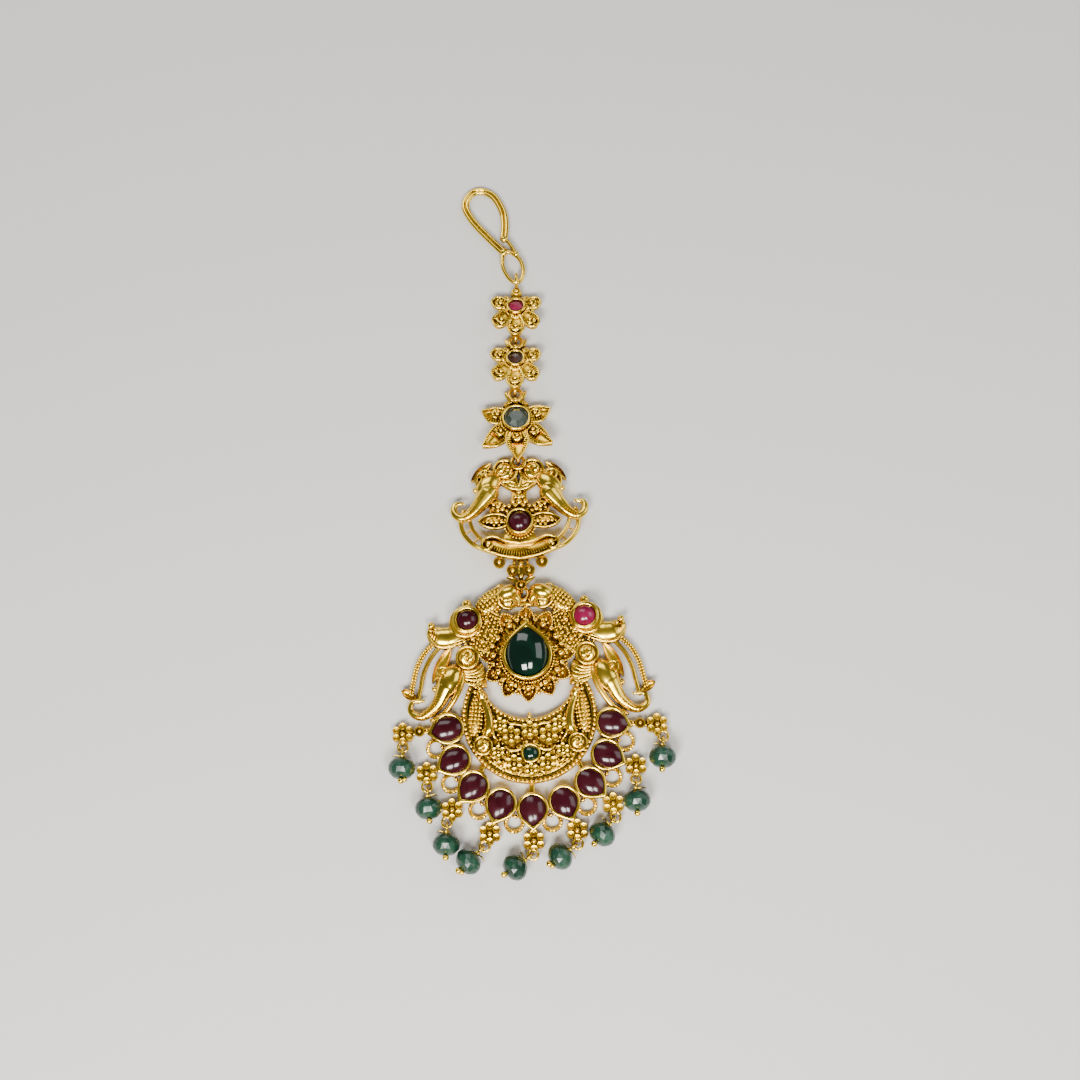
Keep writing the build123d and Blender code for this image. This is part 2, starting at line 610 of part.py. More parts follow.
with BuildPart() as pendant_frame:
    with BuildSketch() as backing:
        with Locations(lotus_centre):
            Circle(5.4)
        with Locations((0, 7.9)):
            Rectangle(5.0, 1.4)
    extrude(backing.sketch, amount=0.9)
    lotus = []
    for k in range(lotus_petals):
        angle = 90 + k * 360 / lotus_petals
        tip = polar(lotus_centre, lotus_radius, angle)
        lotus.append(Leaf(polar(lotus_centre, 3.0, angle), tip, 1.45, 1.45))
    rimmed_leaves(table, lotus, 0, 1.3, 0.5)
    balls([polar(lotus_centre, 5.3, 90 + k * 360 / lotus_petals) for k in range(lotus_petals)], 0.6, 1.5)
    add(pendant_half.part)
    add(crescent.part)
    add(pear_ring.part)
    spokes = [(polar((0, crescent_outer_y), crescent_outer - 0.4, pear_angle(index)),
               polar(ring_centre, pear_orbit, pear_angle(index))) for index in range(0, pear_count, 2)]
    raised_bars(table, spokes, 1.1, 0.2, 0.9)
    rings([(pendant_eye.X, pendant_eye.Y)], eye_major, eye_minor, pendant_eye.Z)
    round_bezels(table, [bird_ruby, (-bird_ruby[0], bird_ruby[1])], bird_stone, 2.4, 3.5)
    emerald_place = Location((0, emerald_y, 0), (0, 0, 90))
    pear_bezels(table, [emerald_place], emerald_width, emerald_length, emerald_seat, emerald_rim)
save(pendant_frame.part, "pendant_frame")

# ---- the pendant's stones
emerald_size = pear_inside(emerald_width, emerald_length)
emerald_plane = seat_plane(table, (0, emerald_y), emerald_seat, 90)
save(pear_cabochon(emerald_plane, *emerald_size, height=3.2, egg_along=5.2, egg_across=3.9), "emerald")
pear_size = pear_inside(pear_width, pear_length)
for index in range(pear_count):
    corner = pear_spot(index).position
    stone_plane = seat_plane(table, (corner.X, corner.Y), pear_seat, pear_tip_angle(index))
    ruby = pear_cabochon(stone_plane, *pear_size, height=1.8, egg_along=3.3, egg_across=2.5)
    save(ruby, f"pear_ruby_{index + 1}")
for side, name in ((-1, "bird_ruby_left"), (1, "bird_ruby_right")):
    stone_plane = seat_plane(table, (side * bird_ruby[0], bird_ruby[1]), 2.4)
    save(round_cabochon(stone_plane, bird_stone, 1.7, 1.9), name)
save(round_cabochon(seat_plane(table, crescent_stone, 1.1), crescent_radius, 1.2, 1.5), "crescent_stone")

# ---- the nine drops: a pin with its loop and ball, and the bead it carries
slope = radians(drop_slope)
for index, drop in enumerate(drops):
    turn = radians(drop.pin_turn)
    heading = Vector(cos(turn) * cos(slope), sin(turn) * cos(slope), sin(slope))
    level = Vector(cos(turn), sin(turn), 0)
    spot = drop_eye_spot(index)
    loop_centre = Vector(spot[0], spot[1], drop_height) + level * drop_eye_major
    with BuildPart(Plane(origin=loop_centre, x_dir=heading, z_dir=heading.cross(Vector(0, 0, 1)))) as pin:
        Torus(loop_major, pin_radius)
        with Locations(Location((loop_major, 0, 0), (0, 90, 0))):
            Cylinder(pin_radius, bead_along + 1.6, align=(Align.CENTER, Align.CENTER, Align.MIN))
        with Locations((bead_along + bead_belt / 2 + bead_crown + pin_ball + 0.05, 0, 0)):
            Sphere(pin_ball)
    save(pin.part, f"drop_pin_{index + 1}")
    bead_plane = Plane(origin=loop_centre + heading * bead_along, z_dir=heading)
    with BuildPart(bead_plane) as bead:
        with BuildSketch(bead_plane) as belt:
            RegularPolygon(bead_radius, bead_sides)
        extrude(belt.sketch, amount=bead_belt / 2)
        with BuildSketch(bead_plane.offset(bead_belt / 2)) as shoulder:
            RegularPolygon(bead_radius, bead_sides)
        extrude(shoulder.sketch, amount=bead_crown, taper=38)
        mirror(about=bead_plane)
        Cylinder(0.3, 6, mode=Mode.SUBTRACT)
    save(bead.part, f"drop_bead_{index + 1}")
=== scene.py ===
import json
from collections import namedtuple
from math import asin, atan2, cos, degrees, hypot, pi, radians, sin, sqrt

import bmesh
import bpy
import numpy as np
from mathutils import Matrix, Vector


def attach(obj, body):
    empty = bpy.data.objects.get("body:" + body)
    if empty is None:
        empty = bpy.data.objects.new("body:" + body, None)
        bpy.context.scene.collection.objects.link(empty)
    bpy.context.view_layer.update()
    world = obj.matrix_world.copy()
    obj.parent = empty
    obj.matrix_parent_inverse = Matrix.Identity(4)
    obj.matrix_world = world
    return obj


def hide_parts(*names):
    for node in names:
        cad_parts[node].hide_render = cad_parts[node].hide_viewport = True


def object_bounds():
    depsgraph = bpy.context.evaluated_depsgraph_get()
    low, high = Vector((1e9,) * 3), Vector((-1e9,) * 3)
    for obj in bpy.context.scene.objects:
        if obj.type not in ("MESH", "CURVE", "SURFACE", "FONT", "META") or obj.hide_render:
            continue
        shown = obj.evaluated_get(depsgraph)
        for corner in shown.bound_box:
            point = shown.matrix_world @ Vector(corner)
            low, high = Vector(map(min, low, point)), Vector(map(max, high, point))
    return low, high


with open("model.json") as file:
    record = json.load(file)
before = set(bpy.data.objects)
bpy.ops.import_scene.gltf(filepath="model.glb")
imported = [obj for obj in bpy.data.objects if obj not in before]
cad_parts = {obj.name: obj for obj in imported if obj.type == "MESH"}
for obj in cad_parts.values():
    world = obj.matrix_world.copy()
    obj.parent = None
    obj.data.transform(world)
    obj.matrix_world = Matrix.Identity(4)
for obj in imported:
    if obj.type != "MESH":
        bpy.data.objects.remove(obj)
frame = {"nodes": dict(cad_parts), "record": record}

cad_low, cad_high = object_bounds()

# Shapes are drawn in millimetres in a piece's own plane, with its back at Z = 0, and brought to
# metres in the frame at the end.
MM = 0.001
ANTIQUE, POLISHED = "antique_gold", "polished_gold"
CREASE_ANGLE = 50  # degrees; flatter corners between faces are shaded as one smooth skin
WAX_VOXEL = 0.13  # the grain, in millimetres, at which melted forms run together
# left and right say how far a leaf bulges on each side of its middle line
Leaf = namedtuple("Leaf", "base tip left right shape", defaults=["pointed"])
# how wide a shaped leaf is along its length, as shares of its length and of its bulge
SHAPES = {"round": ((0, 0.2, 0.4, 0.55, 0.69, 0.8, 0.9, 0.96, 1),
                    (0.4, 0.55, 0.78, 0.94, 1.0, 0.93, 0.74, 0.5, 0.05)),
          "flared": ((0, 0.1, 0.25, 0.42, 0.58, 0.74, 0.87, 0.95, 1),
                     (0.4, 0.65, 0.92, 1.0, 0.9, 0.63, 0.31, 0.14, 0.03)),
          "full": ((0, 0.1, 0.25, 0.45, 0.62, 0.76, 0.87, 0.95, 1),
                   (0.35, 0.55, 0.85, 1.0, 0.99, 0.83, 0.52, 0.22, 0.03))}
Link = namedtuple("Link", "bail_reach eye_reach foot turn")
Drop = namedtuple("Drop", "eye_turn pin_turn")


# ---------------------------------------------------------------- small sums
def polar(centre, radius, angle):
    """The point at this radius and angle, in degrees, about a centre."""
    return (centre[0] + radius * cos(radians(angle)), centre[1] + radius * sin(radians(angle)))


def lifted(point, height):
    """A point of the plane, at a height."""
    return Vector((point[0], point[1], height))


def lift_all(points, height):
    """The points of an outline, all at one height."""
    return [lifted(point, height) for point in points]


def raised(centre, radius, angle, height):
    """The point at this radius and angle, in degrees, about a centre, at a height."""
    return lifted(polar(centre, radius, angle), height)


def once_round(count):
    """Angles in radians, evenly spaced once round."""
    return [2 * pi * k / count for k in range(count)]


def axes_at(place, x_axis, y_axis, z_axis):
    """The matrix that stands a piece at a place with its own axes along these."""
    return Matrix.Translation(place) @ Matrix((x_axis, y_axis, z_axis)).transposed().to_4x4()


def smooth_path(points, steps=8):
    """Points along a smooth curve that runs through the given ones."""
    knots = [Vector(p) for p in points]
    ends = [knots[0] * 2 - knots[1]] + knots + [knots[-1] * 2 - knots[-2]]
    path = []
    for before, start, end, after in zip(ends, ends[1:], ends[2:], ends[3:]):
        for k in range(steps):
            t = k / steps
            path.append(0.5 * ((2 * start) + (end - before) * t
                               + (2 * before - 5 * start + 4 * end - after) * t**2
                               + (3 * start - before - 3 * end + after) * t**3))
    return path + [knots[-1]]


def arc(centre, radius, start, end, height, steps=24):
    """Points on an arc, from one angle to another in degrees."""
    return [lifted(polar(centre, radius, start + (end - start) * k / steps), height)
            for k in range(steps + 1)]


def ring_path(centre, radius, height, steps=32):
    """Points once round a circle."""
    return arc(centre, radius, 0, 360, height, steps)[:-1]


def leaf_width(leaf, share, side):
    """How wide a leaf is on one side of its middle line, at a share of its length."""
    length = hypot(leaf.tip[0] - leaf.base[0], leaf.tip[1] - leaf.base[1])
    bulge = leaf.left if side > 0 else leaf.right
    shape = leaf.shape.split()[0 if side > 0 else -1]
    if shape in SHAPES:
        return bulge * float(np.interp(share, *SHAPES[shape]))
    curve = (length**2 / 4 + bulge**2) / (2 * bulge)
    return max(0.03, sqrt(max(0.0, curve**2 - (length * (share - 0.5))**2)) - (curve - bulge))


def leaf_point(leaf, share, across, height):
    """A point on a leaf: across runs from -1, its right edge, to 1, its left edge."""
    base, tip = Vector((*leaf.base, 0)), Vector((*leaf.tip, 0))
    along = (tip - base).normalized()
    side = Vector((-along.y, along.x, 0))
    point = base.lerp(tip, share) + side * (across * leaf_width(leaf, share, across))
    return Vector((point.x, point.y, height))


# ---------------------------------------------------------------- a piece of metalwork
class Metalwork:
    """The forms of one piece: some are melted together, some stay crisp, and rows follow lines."""

    def __init__(self):
        self.melted = bmesh.new()
        self.metal, self.bright = bmesh.new(), bmesh.new()
        self.crisp = {ANTIQUE: self.metal, POLISHED: self.bright}
        self.rows = {}

    def row(self, tree, path, closed=False, reach=None, finish=ANTIQUE, **sizes):
        """A line for a node tree to work along; reach is half the length of a rib at each point."""
        key = (tree, finish, tuple(sorted(sizes.items())))
        points = [Vector(p) for p in path]
        reach = [0.5] * len(points) if reach is None else list(np.interp(
            np.linspace(0, 1, len(points)), np.linspace(0, 1, len(reach)), reach))
        self.rows.setdefault(key, []).append((points, closed, reach))

    def mirror(self):
        """Add the same forms on the other side of X = 0."""
        for shell in (self.melted, *self.crisp.values()):
            copied = bmesh.ops.duplicate(shell, geom=shell.verts[:] + shell.edges[:] + shell.faces[:])
            verts = [item for item in copied["geom"] if isinstance(item, bmesh.types.BMVert)]
            bmesh.ops.scale(shell, vec=(-1, 1, 1), verts=verts)
        for lines in self.rows.values():
            lines += [([Vector((-p.x, p.y, p.z)) for p in points], closed, reach)
                      for points, closed, reach in lines]


def add_loops(shell, rings):
    """The corners of each ring of points."""
    return [[shell.verts.new(point) for point in ring] for ring in rings]


def add_band(shell, low, high):
    """Faces between two loops of corners, once round."""
    count = len(low)
    for k in range(count):
        shell.faces.new((low[k], low[(k + 1) % count], high[(k + 1) % count], high[k]))


def skin(shell, rings):
    """Join closed rings of points into one closed shell with capped ends."""
    loops = add_loops(shell, rings)
    for low, high in zip(loops, loops[1:]):
        add_band(shell, low, high)
    shell.faces.new(loops[0][::-1])
    shell.faces.new(loops[-1])


def hoop(shell, rings):
    """Join closed rings of points into a hoop that ends where it starts."""
    loops = add_loops(shell, rings)
    for low, high in zip(loops, loops[1:] + loops[:1]):
        add_band(shell, low, high)


def tube(shell, path, radii, sides=10, flat=1.0, closed=False):
    """A wire along a path; radii are values spaced from its start to its end."""
    points = [Vector(p) for p in path]
    count = len(points)
    radii = np.interp(np.linspace(0, 1, count), np.linspace(0, 1, len(radii)), radii)
    rings = []
    for k, point in enumerate(points):
        before = points[k - 1] if k or closed else point
        after = points[(k + 1) % count] if k < count - 1 or closed else point
        along = (after - before).normalized()
        side = along.cross(Vector((0, 0, 1)))
        side = side.normalized() if side.length > 1e-4 else Vector((1, 0, 0))
        up = side.cross(along)
        steps = [(0.0, 1.0)]
        if not closed and k == 0:
            steps = [(-0.9, 0.4), (-0.6, 0.8), (0.0, 1.0)]
        if not closed and k == count - 1:
            steps = [(0.0, 1.0), (0.6, 0.8), (0.9, 0.4)]
        for shift, share in steps:
            middle = point + along * (shift * radii[k])
            rings.append([middle + (side * cos(a) + up * (sin(a) * flat)) * (radii[k] * share)
                          for a in once_round(sides)])
    if closed:
        hoop(shell, rings)
    else:
        skin(shell, rings)


def wire(shell, points, radii, sides=8, steps=6):
    """A wire along a smooth curve through a few points."""
    tube(shell, smooth_path(points, steps), radii, sides)


def ball(shell, centre, radius, detail=2):
    """A granule."""
    bmesh.ops.create_icosphere(shell, subdivisions=detail, radius=radius, matrix=Matrix.Translation(centre))


def egg(shell, centre, sizes, angle, detail=4):
    """An egg with three half-sizes, turned by an angle in its plane."""
    turn = Matrix.Rotation(radians(angle), 4, "Z")
    bmesh.ops.create_icosphere(shell, subdivisions=detail, radius=1,
                               matrix=Matrix.Translation(centre) @ turn @ Matrix.Diagonal((*sizes, 1)))


def turned(shell, centre, profile, sides=22):
    """A form turned on a lathe, from (radius, height) pairs that start below and end on top."""
    skin(shell, [[raised(centre, max(radius, 0.01), 360 * k / sides, height) for k in range(sides)]
                 for radius, height in profile])


def ring_dot(shell, centre, radius, low, high):
    """A small disc with a raised wire rim and a domed granule in the middle."""
    turned(shell, centre, [(0, low), (radius * 0.82, low), (radius * 0.84, high - 0.4),
                           (radius, high - 0.18), (radius, high + 0.06), (radius - 0.1, high + 0.22),
                           (radius - 0.24, high + 0.22), (radius - 0.34, high + 0.08),
                           (radius - 0.36, high - 0.1), (radius * 0.42, high - 0.1),
                           (radius * 0.38, high + 0.12), (radius * 0.22, high + 0.3), (0, high + 0.36)],
           18)


def loop_petal(shell, centre, radius, low, high):
    """A petal of a small flower: a tiny ring with a dimple."""
    turned(shell, centre, [(0, low), (radius, low), (radius, high - 0.05), (radius * 0.84, high + 0.12),
                           (radius * 0.6, high + 0.08), (radius * 0.46, high - 0.15), (0, high - 0.22)],
           12)


def small_flower(work, centre, radius, low, high):
    """Six looped petals round a granule."""
    turned(work.metal, centre, [(0, low), (radius, low), (radius, high - 0.25), (0, high - 0.2)], 16)
    for k in range(6):
        loop_petal(work.metal, polar(centre, radius, 30 + 60 * k), radius * 0.55, low, high)
    ball(work.bright, lifted(centre, high + 0.1), radius * 0.36)


def plate(shell, outline, low, high, edge=0.12):
    """A flat plate with a softened top edge, from the points round it."""
    inner = []
    for k, (x, y) in enumerate(outline):
        before, after = Vector(outline[k - 1]), Vector(outline[(k + 1) % len(outline)])
        run = (after - before).normalized()
        inner.append((x - run.y * edge, y + run.x * edge))
    turn = sum(a[0] * b[1] - b[0] * a[1] for a, b in zip(outline, outline[1:] + outline[:1]))
    if turn < 0:
        inner = [(2 * x - ix, 2 * y - iy) for (x, y), (ix, iy) in zip(outline, inner)]
    skin(shell, [lift_all(outline, low), lift_all(outline, high - edge), lift_all(inner, high)])


CUP = ((-1.0, 0.0, 0.0), (-0.98, 0.75, 0.0), (-0.92, 1.0, 0.0), (-0.85, 0.8, 0.05), (-0.78, 0.2, 0.4),
       (-0.55, 0.0, 0.8), (0.0, 0.0, 1.0))  # across, share of the rim, share of the cup
CUP_SECTION = CUP + tuple((-across, rim, cup) for across, rim, cup in CUP[-2::-1])


def cupped_leaf(shell, leaf, low, high, rim=0.4, cup=0.45, lift=0.3, steps=14, foot=0.8):
    """A leaf or petal like a shallow dish, with a rolled rim and a tip that lifts."""
    rings = []
    for k in range(steps + 1):
        share = 0.5 - 0.5 * cos(pi * k / steps)
        fade = min(1.0, 4.0 * share, 5.0 * (1.02 - share))
        rise = high + lift * share**2
        ring = [leaf_point(leaf, share, across, rise + rim * edge * min(1.0, 6 * share) - cup * dish * fade)
                for across, edge, dish in CUP_SECTION]
        ring += [leaf_point(leaf, share, foot, low), leaf_point(leaf, share, -foot, low)]
        rings.append(ring)
    skin(shell, rings)


def hatched_rim(work, leaf, height, start, end=0.95, inset=0.74, reach=0.3, lift=0.2):
    """Short ridges that run inwards from a leaf's rim."""
    for side in (-1, 1):
        path = [leaf_point(leaf, s, side * inset, height + lift * s * s) for s in np.linspace(start, end, 9)]
        work.row("ribs", path, reach=[reach, reach, reach * 0.5], spacing=0.36, thickness=0.1, height=0.2)


def rim_wire(work, leaf, height, lift=0.2, radius=0.16, start=0.1, inset=0.93):
    """A polished wire round a leaf's edge, from one side of its base to the other."""
    shares = list(start + (1 - start) * np.sin(np.linspace(0, pi / 2, 12)))
    sides = [(s, inset) for s in shares] + [(s, -inset) for s in shares[-2::-1]]
    tube(work.bright, [leaf_point(leaf, s, side, height + lift * s * s) for s, side in sides], [radius], 8)


def heart(work, spot, outward, size, height):
    """A two-lobed lump that is open towards a stone, with a granule in it."""
    curl = [raised(spot, size * 0.62, outward - 110 + 220 * k / 12, height) for k in range(13)]
    tube(work.bright, curl, [size * 0.16, size * 0.34, size * 0.26, size * 0.34, size * 0.16], 8)
    ball(work.bright, raised(spot, -size * 0.12, outward, height + 0.1), size * 0.36)


def pear_outline(width, length, steps=12):
    """Points round a pear along +X, its round end about the origin."""
    radius = width / 2
    reach = length - radius
    side = []
    for k in range(1, steps + 1):
        t = k / steps
        a, b, c, d = (1 - t)**3, 3 * t * (1 - t)**2, 3 * t * t * (1 - t), t**3
        side.append((b * 0.42 * reach + c * 0.76 * reach + d * reach,
                     a * radius + b * radius * 1.03 + c * radius * 0.36))
    turns = [pi / 2 + pi * k / (2 * steps) for k in range(2 * steps + 1)]
    round_end = [(radius * cos(a), radius * sin(a)) for a in turns]
    return round_end + [(x, -y) for x, y in side] + side[-2::-1]


def pear_points(spot, angle, width, length, height):
    """Points round a pear that stands at a spot and points along an angle."""
    turn = Matrix.Rotation(radians(angle), 3, "Z")
    return [lifted(spot, height) + turn @ Vector((x, y, 0)) for x, y in pear_outline(width, length)]


def pear_cup(shell, spot, angle, width, length, seat, rim, wall=0.45, low=0.0):
    """A pear-shaped collet with a rolled lip, solid up to its seat."""
    profile = ((0.12, low), (0.0, low + 0.15), (0.06, rim * 0.55), (0.0, rim - 0.22), (0.1, rim - 0.04),
               (0.24, rim), (wall - 0.12, rim - 0.03), (wall, rim - 0.18), (wall + 0.03, seat + 0.01),
               (wall + 0.5, seat))
    skin(shell, [pear_points(spot, angle, width - 2 * inset, length - 2.6 * inset, height)
                 for inset, height in profile])


def round_cup(shell, centre, stone_radius, seat, rim, low=0.0, flare=0.0):
    """A round collet with a rolled lip."""
    inner, outer = stone_radius + 0.05, stone_radius + 0.46
    turned(shell, centre, [
        (0, low), (outer + flare, low), (outer + flare * 0.6, low + (rim - low) * 0.35),
        (outer - 0.03, rim - 0.45), (outer, rim - 0.25), (outer - 0.07, rim - 0.06), (outer - 0.2, rim),
        (inner + 0.08, rim - 0.03), (inner, rim - 0.15), (inner, seat + 0.02), (inner - 0.4, seat),
        (0, seat),
    ], 30)


def comma_scroll(work, centre, radius, high, turn, hand):
    """Two comma-shaped lumps that chase each other inside a wire rim."""
    for k in range(2):
        curl = [raised(centre, radius * (0.3 + 0.32 * s), turn + 180 * k + hand * 200 * s,
                       high + 0.12 - 0.15 * s) for s in np.linspace(0, 1, 14)]
        tube(work.bright, curl, [radius * share for share in (0.37, 0.35, 0.25, 0.13, 0.05)], 10)
    tube(work.bright, ring_path(centre, radius * 0.91, high + 0.08), [radius * 0.105], 8, closed=True)


def solid_bar(shell, start, end, width, low, high):
    """A strip with rounded ends, from one point to another."""
    run = Vector(end) - Vector(start)
    turn = degrees(atan2(run.y, run.x))
    outline = [polar(end, width / 2, turn - 90 + 30 * k) for k in range(7)]
    outline += [polar(start, width / 2, turn + 90 + 30 * k) for k in range(7)]
    plate(shell, outline, low, high, 0.08)


# ---------------------------------------------------------------- node trees for what repeats
def tree_node(tree, kind, links=(), **settings):
    """A node with its settings, and its inputs linked or set."""
    node = tree.nodes.new(kind)
    for name, value in settings.items():
        setattr(node, name, value)
    for socket, value in dict(links).items():
        if isinstance(value, bpy.types.NodeSocket):
            tree.links.new(value, node.inputs[socket])
        else:
            node.inputs[socket].default_value = value
    return node


def first_output(tree, kind, links=(), **settings):
    """The first output of a new node."""
    return tree_node(tree, kind, links, **settings).outputs[0]


def maths(tree, operation, first, second=0.0, **settings):
    """A sum of two values, or a function of the first."""
    return first_output(tree, "ShaderNodeMath", {0: first, 1: second}, operation=operation, **settings)


def new_tree(kind, name, inputs, outputs):
    """A node tree with its sockets, and its given inputs.

    Inputs are a starting value or a kind of socket for each name, and outputs a kind of socket.
    """
    tree = bpy.data.node_groups.new(name, kind)
    for label, value in inputs.items():
        named = value if isinstance(value, str) else "Float" if isinstance(value, float) else "Color"
        socket = tree.interface.new_socket(label, in_out="INPUT", socket_type="NodeSocket" + named)
        if named != value:
            socket.default_value = value
    for label, named in outputs.items():
        tree.interface.new_socket(label, in_out="OUTPUT", socket_type="NodeSocket" + named)
    return tree, tree.nodes.new("NodeGroupInput").outputs


def end_tree(tree, results):
    """Link what a tree has made to its outputs."""
    tree_node(tree, "NodeGroupOutput", results)
    return tree


def row_tree(name, sizes):
    """An empty tree that takes lines and named sizes, and the lines as curves."""
    tree, given = new_tree("GeometryNodeTree", name, {"Lines": "Geometry", **sizes, "Finish": "Material"},
                           {"Metal": "Geometry"})
    return tree, given, first_output(tree, "GeometryNodeMeshToCurve", {0: given["Lines"]})


def end_row_tree(tree, given, geometry):
    """Realize what was placed, smooth it, and give it its metal."""
    real = first_output(tree, "GeometryNodeRealizeInstances", {0: geometry})
    soft = first_output(tree, "GeometryNodeSetShadeSmooth", {0: real})
    return end_tree(tree, {0: first_output(tree, "GeometryNodeSetMaterial",
                                           {0: soft, "Material": given["Finish"]})})


def granule_tree():
    """Small balls, evenly spaced on the lines."""
    tree, given, curves = row_tree("granules", {"spacing": 0.5, "radius": 0.25})
    spots = first_output(tree, "GeometryNodeResampleCurve", {0: curves, "Length": given["spacing"]},
                         mode="LENGTH")
    grain = first_output(tree, "GeometryNodeMeshIcoSphere", {"Radius": given["radius"], "Subdivisions": 2})
    placed = first_output(tree, "GeometryNodeInstanceOnPoints", {"Points": spots, "Instance": grain})
    return end_row_tree(tree, given, placed)


def rib_tree():
    """Small ridges across the lines; the attribute reach says how long each one is."""
    tree, given, curves = row_tree("ribs", {"spacing": 0.4, "thickness": 0.12, "height": 0.3})
    spots = first_output(tree, "GeometryNodeResampleCurve", {0: curves, "Length": given["spacing"]},
                         mode="LENGTH")
    ridge = first_output(tree, "GeometryNodeMeshUVSphere", {"Segments": 8, "Rings": 6, "Radius": 1.0})
    reach = first_output(tree, "GeometryNodeInputNamedAttribute", {"Name": "reach"}, data_type="FLOAT")
    size = first_output(tree, "ShaderNodeCombineXYZ", {0: given["thickness"], 1: reach, 2: given["height"]})
    along = first_output(tree, "GeometryNodeInputTangent")
    turn = first_output(tree, "FunctionNodeAlignRotationToVector", {"Vector": along}, axis="X")
    placed = first_output(tree, "GeometryNodeInstanceOnPoints",
                          {"Points": spots, "Instance": ridge, "Rotation": turn, "Scale": size})
    return end_row_tree(tree, given, placed)


def twist_tree():
    """Two thin wires twisted round each line."""
    tree, given, curves = row_tree("twisted_wire", {"pitch": 1.0, "radius": 0.15, "spread": 0.13})
    step = maths(tree, "DIVIDE", given["pitch"], 8.0)
    fine = first_output(tree, "GeometryNodeResampleCurve", {0: curves, "Length": step}, mode="LENGTH")
    along = first_output(tree, "GeometryNodeInputTangent")
    side = first_output(tree, "ShaderNodeVectorMath", {0: along, 1: (0, 0, 1)}, operation="CROSS_PRODUCT")
    run = tree_node(tree, "GeometryNodeSplineParameter").outputs["Length"]
    angle = maths(tree, "DIVIDE", maths(tree, "MULTIPLY", run, 2 * pi), given["pitch"])
    strands = tree_node(tree, "GeometryNodeJoinGeometry")
    for phase in (0.0, pi):
        shifted = maths(tree, "ADD", angle, phase)
        out = maths(tree, "MULTIPLY", maths(tree, "COSINE", shifted), given["spread"])
        up = maths(tree, "MULTIPLY", maths(tree, "SINE", shifted), given["spread"])
        outward = first_output(tree, "ShaderNodeVectorMath", {0: side, "Scale": out}, operation="SCALE")
        upward = first_output(tree, "ShaderNodeCombineXYZ", {2: up})
        offset = first_output(tree, "ShaderNodeVectorMath", {0: outward, 1: upward}, operation="ADD")
        moved = first_output(tree, "GeometryNodeSetPosition", {0: fine, "Offset": offset})
        tree.links.new(moved, strands.inputs[0])
    section = tree_node(tree, "GeometryNodeCurvePrimitiveCircle",
                        {"Resolution": 6, "Radius": given["radius"]})
    wires = first_output(tree, "GeometryNodeCurveToMesh", {
        0: strands.outputs[0], "Profile Curve": section.outputs["Curve"], "Fill Caps": True})
    return end_row_tree(tree, given, wires)


ROW_TREES = {"granules": granule_tree(), "ribs": rib_tree(), "twisted_wire": twist_tree()}


# ---------------------------------------------------------------- materials
def shader_group(name, inputs, outputs):
    """An empty group of shader nodes, its given inputs, and a place in the piece's own frame."""
    group, given = new_tree("ShaderNodeTree", name, inputs, outputs)
    return group, given, group.nodes.new("ShaderNodeTexCoord").outputs["Object"]


def soft_noise(tree, place, scale, detail, distortion=0.0):
    """Noise that stays with the piece."""
    return first_output(tree, "ShaderNodeTexNoise", {
        "Vector": place, "Scale": scale, "Detail": detail, "Distortion": distortion})


def patina_and_shade_group():
    """How far the metal is darkened in its recesses, as painted shade together with patina, from its openness
    to light, and by age in blotches.
    """
    group, given, place = shader_group("patina_and_painted_shade", {
        "Openness": 1.0, "Depth": 0.6, "Blotch": 0.3, "Scale": 300.0}, {"Unshaded_and_worn": "Float", "Blotches": "Float"})
    noise = soft_noise(group, place, given["Scale"], 4.0)
    # painted shade: the less light can reach a spot, the less of the bright colour it keeps
    edge = first_output(group, "ShaderNodeMapRange", {
        "Value": given["Openness"], "From Min": 0.25, "From Max": 0.85, "To Min": 0.0, "To Max": 1.0},
        interpolation_type="SMOOTHSTEP")
    spread = maths(group, "MULTIPLY", maths(group, "SUBTRACT", noise, 0.5), given["Blotch"])
    unshaded_and_worn = maths(group, "ADD", edge, spread, use_clamp=True)
    less = maths(group, "MULTIPLY", maths(group, "SUBTRACT", 1.0, unshaded_and_worn), given["Depth"], use_clamp=True)
    return end_tree(group, {"Unshaded_and_worn": maths(group, "SUBTRACT", 1.0, less), "Blotches": noise})


def grain_group():
    """The fine skin of a casting: soft dents and a finer tooth."""
    group, given, place = shader_group("cast_skin", {
        "Dent Scale": 900.0, "Tooth Scale": 4000.0, "Tooth": 0.3}, {"Height": "Float"})
    dents = soft_noise(group, place, given["Dent Scale"], 2.0)
    fine = maths(group, "MULTIPLY", soft_noise(group, place, given["Tooth Scale"], 3.0), given["Tooth"])
    return end_tree(group, {"Height": maths(group, "ADD", dents, fine)})


def cloud_group():
    """Soft clouds and veins inside a stone: two colours that drift into each other."""
    group, given, place = shader_group("stone_clouds", {
        "Body": (0.1, 0.0, 0.0, 1), "Cloud": (0.3, 0.1, 0.1, 1), "Scale": 400.0, "Amount": 0.5},
        {"Color": "Color", "Clouds": "Float"})
    noise = soft_noise(group, place, given["Scale"], 5.0, 0.8)
    spread = first_output(group, "ShaderNodeMapRange", {"Value": noise, "From Min": 0.38, "From Max": 0.72})
    amount = maths(group, "MULTIPLY", spread, given["Amount"])
    return end_tree(group, {"Color": blend(group, amount, given["Body"], given["Cloud"]), "Clouds": amount})


def blend(tree, share, first, second):
    """One colour that runs into another."""
    return tree_node(tree, "ShaderNodeMix", {0: share, 6: first, 7: second}, data_type="RGBA").outputs[2]


PATINA_AND_SHADE, GRAIN, CLOUDS = patina_and_shade_group(), grain_group(), cloud_group()


def new_material(name):
    """A material with its nodes and its Principled surface."""
    material = bpy.data.materials.new(name)
    material.use_nodes = True
    return material, material.node_tree, material.node_tree.nodes["Principled BSDF"]


def placed_group(tree, group, values):
    """The outputs of a shared group that is placed in a material with its own values."""
    return tree_node(tree, "ShaderNodeGroup", values, node_tree=group).outputs


